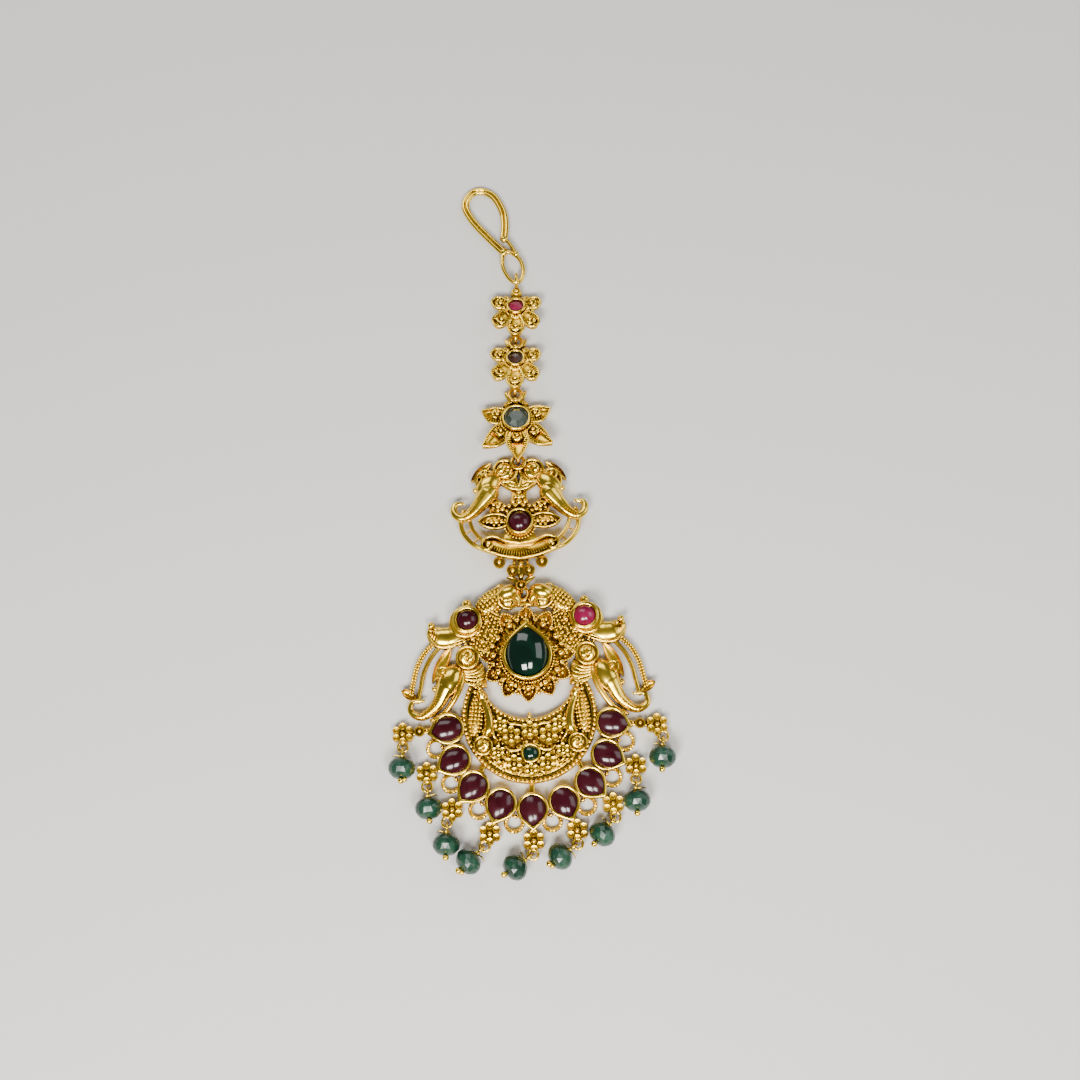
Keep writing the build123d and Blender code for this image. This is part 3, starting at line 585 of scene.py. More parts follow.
def give_skin(tree, surface, dents, tooth_scale, tooth, strength, depth_mm):
    """Fine relief for a surface."""
    grain = {"Dent Scale": dents, "Tooth Scale": tooth_scale, "Tooth": tooth}
    height = placed_group(tree, GRAIN, grain)["Height"]
    relief = first_output(tree, "ShaderNodeBump", {
        "Height": height, "Strength": strength, "Distance": depth_mm * MM})
    tree.links.new(relief, surface.inputs["Normal"])


def gold(name, bright, dark, smooth, rough, depth, bump, recess_mm):
    """Gold that is bright where it is rubbed and brown in its recesses, the brown being painted shade
    together with patina.
    """
    material, tree, surface = new_material(name)
    # painted shade: ambient occlusion darkens the recesses towards the dark colour, together with the patina
    openness = tree_node(tree, "ShaderNodeAmbientOcclusion", {"Distance": recess_mm * MM}, samples=6)
    unshaded_and_worn = placed_group(tree, PATINA_AND_SHADE, {
        "Openness": openness.outputs["AO"], "Depth": depth, "Blotch": 0.35, "Scale": 260.0})
    tree.links.new(blend(tree, unshaded_and_worn["Unshaded_and_worn"], dark, bright), surface.inputs["Base Color"])
    shine = first_output(tree, "ShaderNodeMapRange", {
        "Value": unshaded_and_worn["Blotches"], "From Min": 0.3, "From Max": 0.7, "To Min": smooth, "To Max": rough})
    tree.links.new(shine, surface.inputs["Roughness"])
    give_skin(tree, surface, 700.0, 3600.0, 0.25, bump, 0.05)
    surface.inputs["Metallic"].default_value = 1.0
    return material


def gem(name, body, cloud, amount, scale, roughness, transmission, ior, coat):
    """A stone with soft clouds inside and a polished skin."""
    material, tree, surface = new_material(name)
    clouds = placed_group(tree, CLOUDS, {
        "Body": (*body, 1), "Cloud": (*cloud, 1), "Scale": scale, "Amount": amount})
    tree.links.new(clouds["Color"], surface.inputs["Base Color"])
    shine = first_output(tree, "ShaderNodeMapRange", {
        "Value": clouds["Clouds"], "To Min": roughness, "To Max": roughness + 0.12})
    tree.links.new(shine, surface.inputs["Roughness"])
    give_skin(tree, surface, 500.0, 2500.0, 0.1, 0.12, 0.04)
    surface.inputs["Transmission Weight"].default_value = transmission
    surface.inputs["IOR"].default_value = ior
    surface.inputs["Coat Weight"].default_value = coat
    surface.inputs["Coat Roughness"].default_value = 0.06
    return material


FINISHES = {
    # each gold's second, dark colour is painted shade in the recesses together with the antique patina
    ANTIQUE: gold(ANTIQUE, (0.87, 0.55, 0.035, 1), (0.11, 0.052, 0.001, 1), 0.22, 0.36, 0.97, 0.5, 1.0),
    POLISHED: gold(POLISHED, (0.95, 0.63, 0.06, 1), (0.17, 0.083, 0.004, 1), 0.14, 0.27, 0.85, 0.25, 0.9),
}
# each stone's body and cloud colours, amount and scale of cloud, roughness, transmission, IOR and coat
GEMS = {"ruby": ("ruby_cabochon", (0.022, 0.001, 0.003), (0.045, 0.006, 0.010), 0.6, 420, 0.15, 0.0,
                 1.42, 0.0), "pink_stone": ("pink_ruby", (0.14, 0.002, 0.022), (0.24, 0.014, 0.07), 0.6,
                                            500, 0.16, 0.05, 1.5, 0.0),
        "dark_stone": ("dark_garnet", (0.016, 0.004, 0.002), (0.07, 0.025, 0.012), 0.5, 500, 0.14, 0.05,
                       1.5, 0.0), "grey_green_stone": ("grey_green_stone", (0.010, 0.018, 0.012),
                                                       (0.055, 0.07, 0.05), 0.55, 420, 0.2, 0.0, 1.45,
                                                       0.0), "emerald": ("emerald",
                                                                         (0.0005, 0.006, 0.003),
                                                                         (0.001, 0.026, 0.011), 0.5, 240,
                                                                         0.06, 0.05, 1.5, 0.1),
        "green_bead": ("green_bead", (0.002, 0.020, 0.009), (0.017, 0.066, 0.036), 0.8, 330, 0.22, 0.05,
                       1.48, 0.1)}
STONES = {slot: gem(*looks) for slot, looks in GEMS.items()}


# ---------------------------------------------------------------- from forms to a finished piece
def new_object(name, data):
    """An object in the scene for a mesh, a lamp or a camera."""
    piece = bpy.data.objects.new(name, data)
    bpy.context.scene.collection.objects.link(piece)
    return piece


def evaluated(mesh, modifiers):
    """The mesh that an object with these modifiers ends in; each one is set up by a function."""
    worker = new_object("worker", mesh)
    for kind, set_up in modifiers:
        set_up(worker.modifiers.new(kind.lower(), kind))
    graph = bpy.context.evaluated_depsgraph_get()
    result = bpy.data.meshes.new_from_object(worker.evaluated_get(graph))
    worker.modifiers.clear()
    bpy.data.objects.remove(worker)
    return result


def as_mesh(shell, name):
    """A shell as a plain mesh with its faces outwards."""
    bmesh.ops.recalc_face_normals(shell, faces=shell.faces[:])
    mesh = bpy.data.meshes.new(name)
    shell.to_mesh(mesh)
    shell.free()
    return mesh


def melt(shell, voxel):
    """The forms fused into one smooth skin, as wax runs together."""
    def remesh(modifier):
        modifier.mode = "VOXEL"
        modifier.voxel_size = voxel

    def soften(modifier):
        modifier.factor = 0.5
        modifier.iterations = 3

    def thin(modifier):
        modifier.ratio = 0.6

    return evaluated(as_mesh(shell, "wax"), [("REMESH", remesh), ("SMOOTH", soften), ("DECIMATE", thin)])


def row_mesh(key, lines):
    """The mesh that a node tree makes along its lines."""
    tree_name, finish, sizes = key
    mesh = bpy.data.meshes.new("lines")
    points, edges, reaches = [], [], []
    for path, closed, reach in lines:
        first = len(points)
        points += [tuple(p) for p in path]
        edges += [(first + k, first + k + 1) for k in range(len(path) - 1)]
        edges += [(first + len(path) - 1, first)] if closed else []
        reaches += reach
    mesh.from_pydata(points, edges, [])
    mesh.attributes.new("reach", "FLOAT", "POINT").data.foreach_set("value", reaches)

    def set_up(modifier):
        tree = ROW_TREES[tree_name]
        modifier.node_group = tree
        for item in tree.interface.items_tree:
            if item.name in dict(sizes):
                modifier[item.identifier] = float(dict(sizes)[item.name])
            if item.name == "Finish":
                modifier[item.identifier] = FINISHES[finish]

    return evaluated(mesh, [("NODES", set_up)])


def finish_piece(work, name, nodes, place=None):
    """Bring the forms together as one mesh in metres in the frame, and stand it on the root in place of its
    CAD parts.
    """
    finishes = [ANTIQUE, POLISHED]
    parts = [(as_mesh(work.crisp[finish], finish), finishes.index(finish)) for finish in finishes]
    if work.melted.faces:
        parts.append((melt(work.melted, WAX_VOXEL), finishes.index(POLISHED)))
    for key, lines in work.rows.items():
        parts.append((row_mesh(key, lines), finishes.index(key[1])))
    whole = bmesh.new()
    for mesh, slot in parts:
        for polygon in mesh.polygons:
            polygon.material_index = slot
        whole.from_mesh(mesh)
        bpy.data.meshes.remove(mesh)
    if place is None:  # a piece that lies flat ends at its back
        for vert in whole.verts:
            vert.co.z = max(vert.co.z, 0.0)
    bmesh.ops.transform(whole, matrix=Matrix.Scale(MM, 4) @ (place or Matrix()), verts=whole.verts[:])
    for vert in whole.verts:
        vert.co.z = max(vert.co.z, cad_low.z)
    for layer in list(whole.verts.layers.float):
        whole.verts.layers.float.remove(layer)
    mesh = bpy.data.meshes.new(name)
    whole.to_mesh(mesh)
    whole.free()
    for finish in finishes:
        mesh.materials.append(FINISHES[finish])
    mesh.polygons.foreach_set("use_smooth", [True] * len(mesh.polygons))
    mesh.set_sharp_from_angle(angle=radians(CREASE_ANGLE))
    piece = new_object(name, mesh)
    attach(piece, "root")
    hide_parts(*nodes)


# ---------------------------------------------------------------- where the links lie
eye_major, eye_minor = 1.05, 0.3
bail_major, bail_minor, bail_height, bail_drop, link_eye_height = 0.95, 0.25, 1.25, 0.75, 1.45
pendant_eye = Vector((-0.55, 9.1, 1.15))
elephant_chain = Link(10.57, 9.95, 11.1, -0.5)
star_chain = Link(6.2, 4.15, 4.1, 0.4)
flower_chain = Link(4.9, 3.0, 3.0, -2.5)
hook_ring_reach, hook_ring_height, hook_ring_major, hook_ring_minor = 4.7, 2.02, 1.15, 0.28


def link_place(bail_point, chain):
    """The place of a link's back: its top end low, its lower end up on the next piece."""
    rise = asin((bail_height + bail_drop) / (chain.bail_reach + chain.foot))
    turn = radians(chain.turn)
    across = Vector((cos(turn), sin(turn), 0))
    up_chain = Vector((-sin(turn) * cos(rise), cos(turn) * cos(rise), -sin(rise)))
    axes = (across, up_chain, across.cross(up_chain))
    to_bail = Matrix(axes).transposed() @ Vector((0, -chain.bail_reach, -bail_drop))
    return axes_at(bail_point - to_bail, *axes)


def next_bail(place, chain):
    """Where the bail of the link above runs over this link's eye."""
    rim = place @ Vector((0, chain.eye_reach + eye_major, link_eye_height))
    return Vector((rim.x, rim.y, bail_height))


elephant_place = link_place(Vector((pendant_eye.x, pendant_eye.y + eye_major, bail_height)), elephant_chain)
star_place = link_place(next_bail(elephant_place, elephant_chain), star_chain)
flower_place_2 = link_place(next_bail(star_place, star_chain), flower_chain)
flower_place_1 = link_place(next_bail(flower_place_2, flower_chain), flower_chain)
hook_ring_point = flower_place_1 @ Vector((0, hook_ring_reach, hook_ring_height))


def wire_ring(shell, path, minor, axis, sides=10):
    """A closed round wire in a plane that is square to an axis."""
    rings = []
    for before, point, after in zip(path[-1:] + path[:-1], path, path[1:] + path[:1]):
        out = (after - before).normalized().cross(axis)
        rings.append([point + (out * cos(a) + axis * sin(a)) * minor for a in once_round(sides)])
    hoop(shell, rings)


def standing_ring(shell, reach, height, major, minor):
    """A ring across a link's plane, for the next piece to run through."""
    path = [Vector((0, reach + major * cos(a), height + major * sin(a))) for a in once_round(28)]
    wire_ring(shell, path, minor, Vector((1, 0, 0)))


def link_ends(work, chain):
    """The eye at a link's top on its solder post, and the bail under its lower end."""
    metal = work.bright
    tube(metal, ring_path((0, chain.eye_reach), eye_major, link_eye_height), [eye_minor], 10, closed=True)
    post = [(0, 0.1), (0.5, 0.1), (0.5, link_eye_height - 0.1), (0.42, link_eye_height + 0.1),
            (0, link_eye_height + 0.2)]
    turned(metal, (0, chain.eye_reach - eye_major - 0.1), post)
    standing_ring(metal, -chain.bail_reach, -bail_drop, bail_major, bail_minor)


def eye_horns(work, chain):
    """Two small leaves that rise beside a link's eye, and a ball on the near side of its rim."""
    for side in (-1, 1):
        bulges = (0.15, 0.55) if side > 0 else (0.55, 0.15)
        horn = Leaf((side * 0.75, chain.eye_reach - 0.9), (side * 1.65, chain.eye_reach + 0.8), *bulges)
        cupped_leaf(work.bright, horn, 0.8, 1.4, rim=0.1, cup=-0.22, lift=0.1)
        ball(work.bright, (side * 0.62, chain.eye_reach - 0.95, link_eye_height + 0.1), 0.3)
    ball(work.bright, (0, chain.eye_reach - eye_major, link_eye_height + 0.25), 0.42, detail=3)


# ---------------------------------------------------------------- flower links and star link
flower_stone, star_stone, elephant_stone = 1.15, 1.9, 1.75
flower_spot, star_spot, elephant_spot = (0, -0.25), (0, -0.4), (0, -0.5)
petal_low = 0.35
# the angle, reach and width of each petal
flower_petals = ((16, 4.2, 1.2), (164, 4.2, 1.2), (228, 5.2, 1.4), (270, 5.75, 1.5), (312, 5.2, 1.4))


def flower_link(place, name, with_eye):
    """A small flower of cupped petals; the one without an eye carries the hook's standing ring."""
    work = Metalwork()
    metal = work.metal
    turned(metal, (0, 0), [(0, 0), (2.3, 0), (2.3, 0.9), (2.1, 1.1), (0, 1.1)])
    for angle, reach, width in flower_petals:
        petal = Leaf(polar((0, 0), 0.6, angle), polar((0, 0), reach, angle), width, width, "round")
        cupped_leaf(metal, petal, petal_low, 1.0, rim=0.2, cup=0.12, lift=0.1, steps=20)
        rim_wire(work, petal, 1.17, lift=0.1, radius=0.2)
        hatched_rim(work, petal, 1.12, start=0.45, inset=0.72, lift=0.1, reach=0.26)
        middle = reach - width
        heart(work, polar((0, 0), middle - 0.2, angle), angle, 0.8 * width, 1.16)
        ball(work.bright, raised((0, 0), middle + 0.5 * width, angle, 0.95), 0.2 * width)
    for angle in (50, 130, 190, 250, 290, 350):
        ball(work.bright, raised((0, 0), 2.05, angle, 1.25), 0.38)
        ball(metal, raised((0, 0), 2.7, angle, 0.8), 0.4)
    work.row("granules", ring_path(flower_spot, flower_stone + 0.66, 1.25), closed=True, spacing=0.42,
             radius=0.2)
    round_cup(work.bright, flower_spot, flower_stone, 0.9, 2.0, flare=0.1)
    if with_eye:
        link_ends(work, flower_chain)
        eye_horns(work, flower_chain)
    else:
        turned(metal, (0, 2.95), [(0, 0), (0.8, 0), (0.95, 0.5), (0.9, 1.1), (0.65, 1.45), (0, 1.5)], 20)
        tube(work.bright, ring_path((0, 2.95), 0.62, 1.45, 20), [0.15], 8, closed=True)
        ball(work.bright, (0, 2.95, 1.6), 0.36)
        solid_bar(metal, (0, 1.6), (0, 3.6), 1.0, 0, 1.1)
        standing_ring(work.bright, -flower_chain.bail_reach, -bail_drop, bail_major, bail_minor)
        standing_ring(work.bright, hook_ring_reach, hook_ring_height, hook_ring_major, hook_ring_minor)
    finish_piece(work, name + "_casting", [name], place)


flower_link(flower_place_1, "flower_link_1", with_eye=False)
flower_link(flower_place_2, "flower_link_2", with_eye=True)


def star_link():
    """A larger flower of five long petals, with a ribbed calyx above it."""
    work = Metalwork()
    metal = work.metal
    turned(metal, (0, 0), [(0, 0), (2.7, 0), (2.7, 0.9), (2.5, 1.1), (0, 1.1)])
    petals = [Leaf((0.9, 0.4), (5.6, 1.5), 1.25, 2.0, "flared full"),
              Leaf((-0.9, 0.4), (-5.6, 1.5), 2.0, 1.25, "full flared"),
              Leaf((0.7, -0.6), (5.65, -5.0), 1.4, 2.15, "flared full"),
              Leaf((-0.7, -0.6), (-5.65, -5.0), 2.15, 1.4, "full flared"),
              Leaf((0, -1.0), (0, -7.9), 2.0, 2.0, "flared")]
    for petal in petals:
        cupped_leaf(metal, petal, petal_low, 1.0, rim=0.25, cup=0.6, lift=0.25, steps=20)
        rim_wire(work, petal, 1.2, lift=0.25, radius=0.14)
        hatched_rim(work, petal, 1.15, start=0.22, end=0.9, reach=0.42, inset=0.7)
    for side in (-1, 1):
        bulges = (0.55, 0.25) if side > 0 else (0.25, 0.55)
        calyx = Leaf((side * 0.2, 3.3), (side * 2.1, 2.1), *bulges)
        cupped_leaf(metal, calyx, 0.3, 1.2, rim=0.1, cup=-0.2, lift=0, foot=1.0)
        spine = [leaf_point(calyx, s, 0.2 * side, 1.35) for s in np.linspace(0.1, 0.9, 7)]
        work.row("ribs", spine, reach=[0.2, 0.42, 0.42, 0.2], spacing=0.3, thickness=0.1, height=0.3,
                 finish=POLISHED)
    for spot in ((3.2, 0.9), (-3.2, 0.9), (2.75, -2.35), (-2.75, -2.35), (0, -3.4)):
        heart(work, spot, degrees(atan2(spot[1] + 0.4, spot[0])), 1.05, 1.2)
    for angle in (58, 122, -10, 190, -64, 244):
        ball(metal, raised((0, -0.4), 3.0, angle, 0.85), 0.4)
    work.row("granules", ring_path(star_spot, star_stone + 0.68, 1.3), closed=True, spacing=0.44, radius=0.2)
    round_cup(work.bright, star_spot, star_stone, 1.1, 2.3, flare=0.12)
    link_ends(work, star_chain)
    eye_horns(work, star_chain)
    finish_piece(work, "star_link_casting", ["star_link"], star_place)


star_link()


# ---------------------------------------------------------------- elephants
def elephant_head(work, head, sizes, angle, trunk_path, trunk_radii, ear, eye, tusk, brow):
    """A polished head with its trunk and ear, a ringed eye, a curl round the brow and a tusk."""
    egg(work.melted, lifted(head, sizes[2] * 0.5), sizes, angle)
    trunk = smooth_path(trunk_path, 8)
    tube(work.melted, trunk, trunk_radii, 12)
    cupped_leaf(work.metal, ear, 0.2, 1.0, rim=0.3, cup=0.3, lift=0.2)
    top = sizes[2] * 1.3
    ball(work.bright, lifted(eye, top - 0.05), sizes[1] * 0.2)
    curl = [raised(eye, sizes[1] * (0.52 - 0.18 * s), brow + 250 * s, top - 0.05 - 0.25 * s)
            for s in np.linspace(0, 1, 14)]
    tube(work.bright, curl, [0.12, 0.17, 0.15, 0.1], 8)
    ball(work.bright, lifted(tusk, 1.2), sizes[1] * 0.27)
    tube(work.bright, [lifted(tusk, 1.1), lifted(Vector(tusk).lerp(Vector(head), 0.35), 1.1)], [0.3, 0.3], 8)
    # the ribs over the base of the trunk
    count, shares = len(trunk) // 2, np.linspace(0, 1, len(trunk_radii))
    thickness = np.interp(np.linspace(0, 0.5, count), shares, trunk_radii)
    base = [point + Vector((0, 0, radius * 0.45)) for point, radius in zip(trunk[:count], thickness)]
    reach = [radius * 0.86 for radius in np.interp(np.linspace(0.1, 0.5, 6), shares, trunk_radii)]
    work.row("ribs", base[3:], reach=reach, spacing=0.42, thickness=0.13, height=0.62, finish=POLISHED)
    # the two lips at the trunk's end
    tip, run = trunk[-1], (trunk[-1] - trunk[-3]).normalized()
    side = Vector((-run.y, run.x, 0))
    for turn in (-1, 1):
        tube(work.bright, [tip - run * 0.1, tip + run * 0.35 + side * (0.22 * turn)],
             [trunk_radii[-1] * 0.75, trunk_radii[-1] * 0.3], 8)


def elephant_link():
    """Two elephant heads back to back over a ruby and a boat, with scrolls and leaves beside them."""
    work = Metalwork()
    metal, bright = work.metal, work.bright
    trunk = [(4.9, 4.7, 1.2), (6.4, 2.9, 1.05), (7.9, 1.35, 0.95), (9.3, 0.75, 0.9), (10.45, 1.6, 0.9),
             (10.35, 3.0, 0.9), (9.2, 3.3, 0.9)]
    elephant_head(work, head=(4.95, 6.15), sizes=(2.75, 1.85, 1.7), angle=-56, trunk_path=trunk,
                  trunk_radii=[1.75, 1.25, 0.92, 0.74, 0.64, 0.5, 0.34],
                  ear=Leaf((4.4, 10.1), (7.7, 7.0), 0.8, 0.8), eye=(5.3, 7.75), tusk=(7.0, 5.4), brow=-70)
    wire(bright, [(4.2, 8.5, 1.3), (5.3, 8.65, 1.6), (6.4, 7.9, 1.7), (6.85, 6.6, 1.5), (6.5, 5.5, 1.5)],
         [0.12, 0.24, 0.24, 0.12])
    # scroll disc
    turned(metal, (2.2, 8.6), [(0, 0), (2.1, 0), (2.1, 0.9), (1.97, 1.0), (0, 1.0)], 28)
    comma_scroll(work, (2.2, 8.6), 2.08, 1.1, 200, 1)
    # side leaf with its granules
    cupped_leaf(metal, Leaf((1.2, 0), (6.6, 0), 1.35, 1.35), 0, 1.0, rim=0.35, cup=0.5, lift=0.2)
    rim_wire(work, Leaf((1.2, 0), (6.6, 0), 1.3, 1.3), 1.3, lift=0.2, radius=0.14)
    for x, radius in ((2.9, 0.4), (3.7, 0.5), (4.5, 0.42), (5.2, 0.34), (5.8, 0.24)):
        ball(bright, (x, 0, 1.0), radius)
    for x, y in ((3.3, 0.6), (4.1, 0.55), (3.3, -0.6), (4.1, -0.55)):
        ball(metal, (x, y, 0.95), 0.3)
    # the doubled wires at the side, with their ties
    outer = smooth_path(lift_all([(9.0, 2.0), (9.4, 0.7), (9.35, -0.8), (8.7, -2.3), (7.4, -3.7),
                                  (5.6, -4.6)], 0.6))
    inner = smooth_path(lift_all([(7.7, 2.4), (7.95, 1.2), (7.9, 0.0), (7.4, -1.3), (6.4, -2.6),
                                  (5.0, -3.6)], 0.6))
    tube(bright, outer, [0.42], 10, flat=1.3)
    tube(bright, inner, [0.34], 10, flat=1.3)
    for share in (0.3, 0.55, 0.78):
        first, second = outer[int(share * len(outer))], inner[int(share * len(inner))]
        tube(bright, [first, second], [0.17], 8)
    # rings below the boat
    for spot in ((3.4, -6.9), (1.3, -8.3)):
        ring_dot(bright, spot, 1.0, 0.1, 1.1)
    solid_bar(metal, (3.4, -6.9), (3.0, -5.2), 0.45, 0.2, 0.6)
    solid_bar(metal, (1.3, -8.3), (0.9, -5.6), 0.45, 0.2, 0.6)
    cupped_leaf(bright, Leaf((2.3, -9.3), (0.2, -10.95), 0.05, 0.75), 0.3, 0.9, rim=0.25, cup=0.1, lift=0)
    # the ridge of the half-moon collar, and ribs at the root of the head
    fringe = smooth_path([(3.9, 5.9, 1.0), (3.7, 5.0, 1.0), (4.0, 4.0, 0.9)])
    tube(metal, fringe, [0.5, 0.5, 0.35], 10)
    work.row("ribs", fringe, reach=[0.5, 0.5, 0.35], spacing=0.36, thickness=0.11, height=0.5)
    cupped_leaf(metal, Leaf((1.2, 1.2), (4.9, 3.4), 1.0, 1.2, "round"), 0, 1.1, rim=0.3, cup=0.3, lift=0.1)
    for x, y, radius in ((2.0, 1.7, 0.34), (2.7, 2.0, 0.42), (3.4, 2.5, 0.44), (4.1, 2.9, 0.36),
                         (2.4, 2.6, 0.34), (3.1, 3.1, 0.34), (3.4, 1.8, 0.3), (4.2, 2.2, 0.28)):
        ball(bright, (x, y, 1.15), radius)
    # the boat's curled end and its raised edge
    curl = [raised((5.1, -4.0), 1.15 - 0.8 * s, 60 - 330 * s, 1.45) for s in np.linspace(0, 1, 16)]
    tube(bright, curl, [0.2, 0.22, 0.24, 0.3], 8)
    ball(bright, (5.15, -4.05, 1.4), 0.36)
    work.mirror()
    # ground between the collar and the ruby
    turned(metal, (0, 0), [(0, 0), (2.6, 0), (2.6, 0.8), (2.5, 0.9), (0, 0.9)])
    for side in (-1, 1):
        solid_bar(metal, (side * 4.0, 1.9), (side * 0.4, 1.9), 1.6, 0, 0.9)
        solid_bar(metal, (side * 3.9, 3.2), (side * 3.9, 5.4), 0.9, 0, 0.9)
    solid_bar(metal, (0, 2.0), (0, 5.4), 2.5, 0, 0.9)
    solid_bar(metal, (-1.5, -3.0), (1.5, -3.0), 2.4, 0, 0.9)
    # half-moon collar with its slot, and concentric ribs
    half_moon = [polar((0, 9.1), 3.85, 180 + 180 * k / 30) for k in range(31)]
    half_moon += [(1.0, 9.1), (0.24, 8.3), (0.24, 6.4), (0, 6.15), (-0.24, 6.4), (-0.24, 8.3), (-1.0, 9.1)]
    plate(metal, half_moon, 0, 1.15)
    tube(bright, arc((0, 9.1), 3.75, 188, 352, 1.25), [0.2], 8)
    for radius, start, end in ((3.2, 205, 262), (3.2, 278, 335), (2.6, 215, 258), (2.6, 282, 325)):
        tube(bright, arc((0, 9.1), radius, start, end, 1.15, 12), [0.06, 0.17, 0.17, 0.06], 8)
    wire(bright, [(0.42, 8.5, 1.2), (0.4, 7.4, 1.2), (0, 5.95, 1.25), (-0.4, 7.4, 1.2),
                  (-0.42, 8.5, 1.2)], [0.14], steps=8)
    # trefoil above the ruby
    for x, y, radius, height in ((0, 4.9, 0.5, 1.1), (-0.5, 4.15, 0.48, 1.15), (0.5, 4.15, 0.48, 1.15),
                                 (0, 3.95, 0.5, 1.5), (-1.0, 3.3, 0.5, 1.15), (1.0, 3.3, 0.5, 1.15),
                                 (0, 3.1, 0.55, 1.5), (-0.6, 2.6, 0.42, 1.3), (0.6, 2.6, 0.42, 1.3),
                                 (-1.6, 2.6, 0.42, 1.0), (1.6, 2.6, 0.42, 1.0)):
        ball(bright, (x, y, height), radius)
    # the boat
    right = smooth_path([(0, -3.9), (2.2, -3.4), (4.3, -2.6), (5.9, -3.2), (6.0, -4.5), (4.9, -5.1),
                         (2.6, -5.9), (0, -6.4)], 5)
    outline = [(p.x, p.y) for p in right] + [(-p.x, p.y) for p in right[-2:0:-1]]
    plate(metal, outline, 0, 0.75)
    rim = lift_all(outline, 1.0)
    tube(metal, rim, [0.24], 8, flat=1.6, closed=True)
    tube(bright, [point + Vector((0, 0, 0.42)) for point in rim], [0.19], 8, closed=True)
    belly = smooth_path(lift_all([(-4.4, -4.3), (-2.4, -5.1), (0, -5.6), (2.4, -5.1), (4.4, -4.3)], 0.95), 6)
    work.row("ribs", belly, reach=[0.4, 0.6, 0.65, 0.6, 0.4], spacing=0.4, thickness=0.12, height=0.3)
    # stem, bottom dot and bezel
    solid_bar(metal, (0, -6.2), (0, -10.9), 0.8, 0.2, 0.7)
    solid_bar(metal, (-1.3, -8.3), (1.3, -8.3), 0.8, 0.2, 0.7)
    cupped_leaf(bright, Leaf((0, -9.9), (0, -7.0), 0.7, 0.7), 0.3, 1.0, rim=0.2, cup=0.3, lift=0)
    ball(bright, (0, -9.35, 1.1), 0.34)
    ball(bright, (0, -7.3, 1.1), 0.36)
    ring_dot(bright, (0, -10.75), 0.85, 0.1, 1.1)
    work.row("granules", ring_path(elephant_spot, elephant_stone + 0.72, 1.1), closed=True, spacing=0.5,
             radius=0.22)
    round_cup(bright, elephant_spot, elephant_stone, 1.6, 2.8, flare=0.2)
    link_ends(work, elephant_chain)
    finish_piece(work, "elephant_link_casting", ["elephant_link"], elephant_place)


elephant_link()

# ---------------------------------------------------------------- pendant
lotus_centre, lotus_radius, lotus_petals = (0, -0.6), 7.5, 12
emerald_spot, emerald_width, emerald_length, emerald_seat, emerald_rim = (0, -1.0), 7.6, 8.9, 2.2, 3.9
crescent_outer, crescent_outer_y, crescent_inner, crescent_inner_y = 10.5, -10.1, 7.75, -2.83
ring_centre, pear_count, pear_step, pear_orbit = (0, -11.8), 9, 22.5, 12.6
pear_width, pear_length, pear_seat, pear_rim = 5.0, 5.9, 1.0, 2.1
pear_droop = 12
flower_orbit, end_flower_orbit, scallop_orbit = 17.4, 19.7, 14.9
bird_ruby, bird_stone, crescent_stone, crescent_radius = (9.2, 4.95), 1.6, (0, -16.0), 1.1
spiral = (9.35, -0.85)
drop_height, drop_slope, drop_eye_reach, drop_eye_major, drop_eye_minor = 1.1, 22.5, 2.0, 0.75, 0.22
drops = [Drop(270, 268), Drop(270, 275), Drop(246, 268), Drop(246, 221), Drop(265, 212),
         Drop(270, 212), Drop(278, 228), Drop(268, 268), Drop(296, 263)]


def pendant_lotus():
    """The lotus round the emerald, with its collet."""
    work = Metalwork()
    metal, bright = work.metal, work.bright
    turned(metal, lotus_centre, [(0, 0), (5.6, 0), (5.6, 0.8), (5.4, 0.95), (0, 0.95)], 40)
    turned(metal, emerald_spot, [(0, 0.9), (4.5, 0.9), (4.3, 1.6), (0, 1.6)], 40)
    for k in range(lotus_petals):
        angle = 90 + k * 360 / lotus_petals
        petal = Leaf(polar(lotus_centre, 3.0, angle), polar(lotus_centre, lotus_radius, angle), 1.5, 1.5)
        cupped_leaf(metal, petal, 0, 1.4, rim=0.45, cup=0.75, lift=0.3, steps=18)
        for side in (-1, 1):
            edge = [leaf_point(petal, s, side * 0.88, 1.75 + 0.25 * s * s)
                    for s in np.linspace(0.5, 0.985, 6)]
            work.row("granules", edge, spacing=0.34, radius=0.17, finish=POLISHED)
        ball(bright, raised(lotus_centre, 5.3, angle, 1.55), 0.58)
        for turn, reach, radius in ((0, 6.25, 0.26), (-5.5, 5.95, 0.22), (5.5, 5.95, 0.22)):
            ball(bright, raised(lotus_centre, reach, angle + turn, 1.45), radius)
        between = angle + 180 / lotus_petals
        ball(metal, raised(lotus_centre, 5.55, between, 1.5), 0.45)
        ball(bright, raised(lotus_centre, 6.25, between, 1.0), 0.38)
        inner = Leaf(polar(emerald_spot, 3.4, between), polar(emerald_spot, 5.15, between), 0.75, 0.75)
        cupped_leaf(bright, inner, 1.0, 1.9, rim=0.25, cup=0.2, lift=0.0, steps=8)
    around = pear_points(emerald_spot, 90, emerald_width + 0.75, emerald_length + 0.9, 1.95)
    work.row("granules", around, closed=True, spacing=0.46, radius=0.22)
    pear_cup(bright, emerald_spot, 90, emerald_width + 0.25, emerald_length + 0.3, emerald_seat,
             emerald_rim, wall=0.62, low=0.5)
    finish_piece(work, "pendant_lotus", ["pendant_frame"])


def dome_rows(work, centre, sizes, angle, low, along_steps, across_steps, radius):
    """Granules in curved rows over an egg-shaped boss, like scales."""
    turn = Matrix.Rotation(radians(angle), 3, "Z")
    for along in along_steps:
        row = []
        for across in across_steps:
            left = 1 - (along / sizes[0])**2 - (across / sizes[1])**2
            if left > 0.02:
                height = low + sizes[2] * sqrt(left)
                row.append(lifted(centre, 0) + turn @ Vector((along, across, 0)) + Vector((0, 0, height)))
        if len(row) > 1:
            work.row("granules", row, spacing=radius * 1.9, radius=radius)


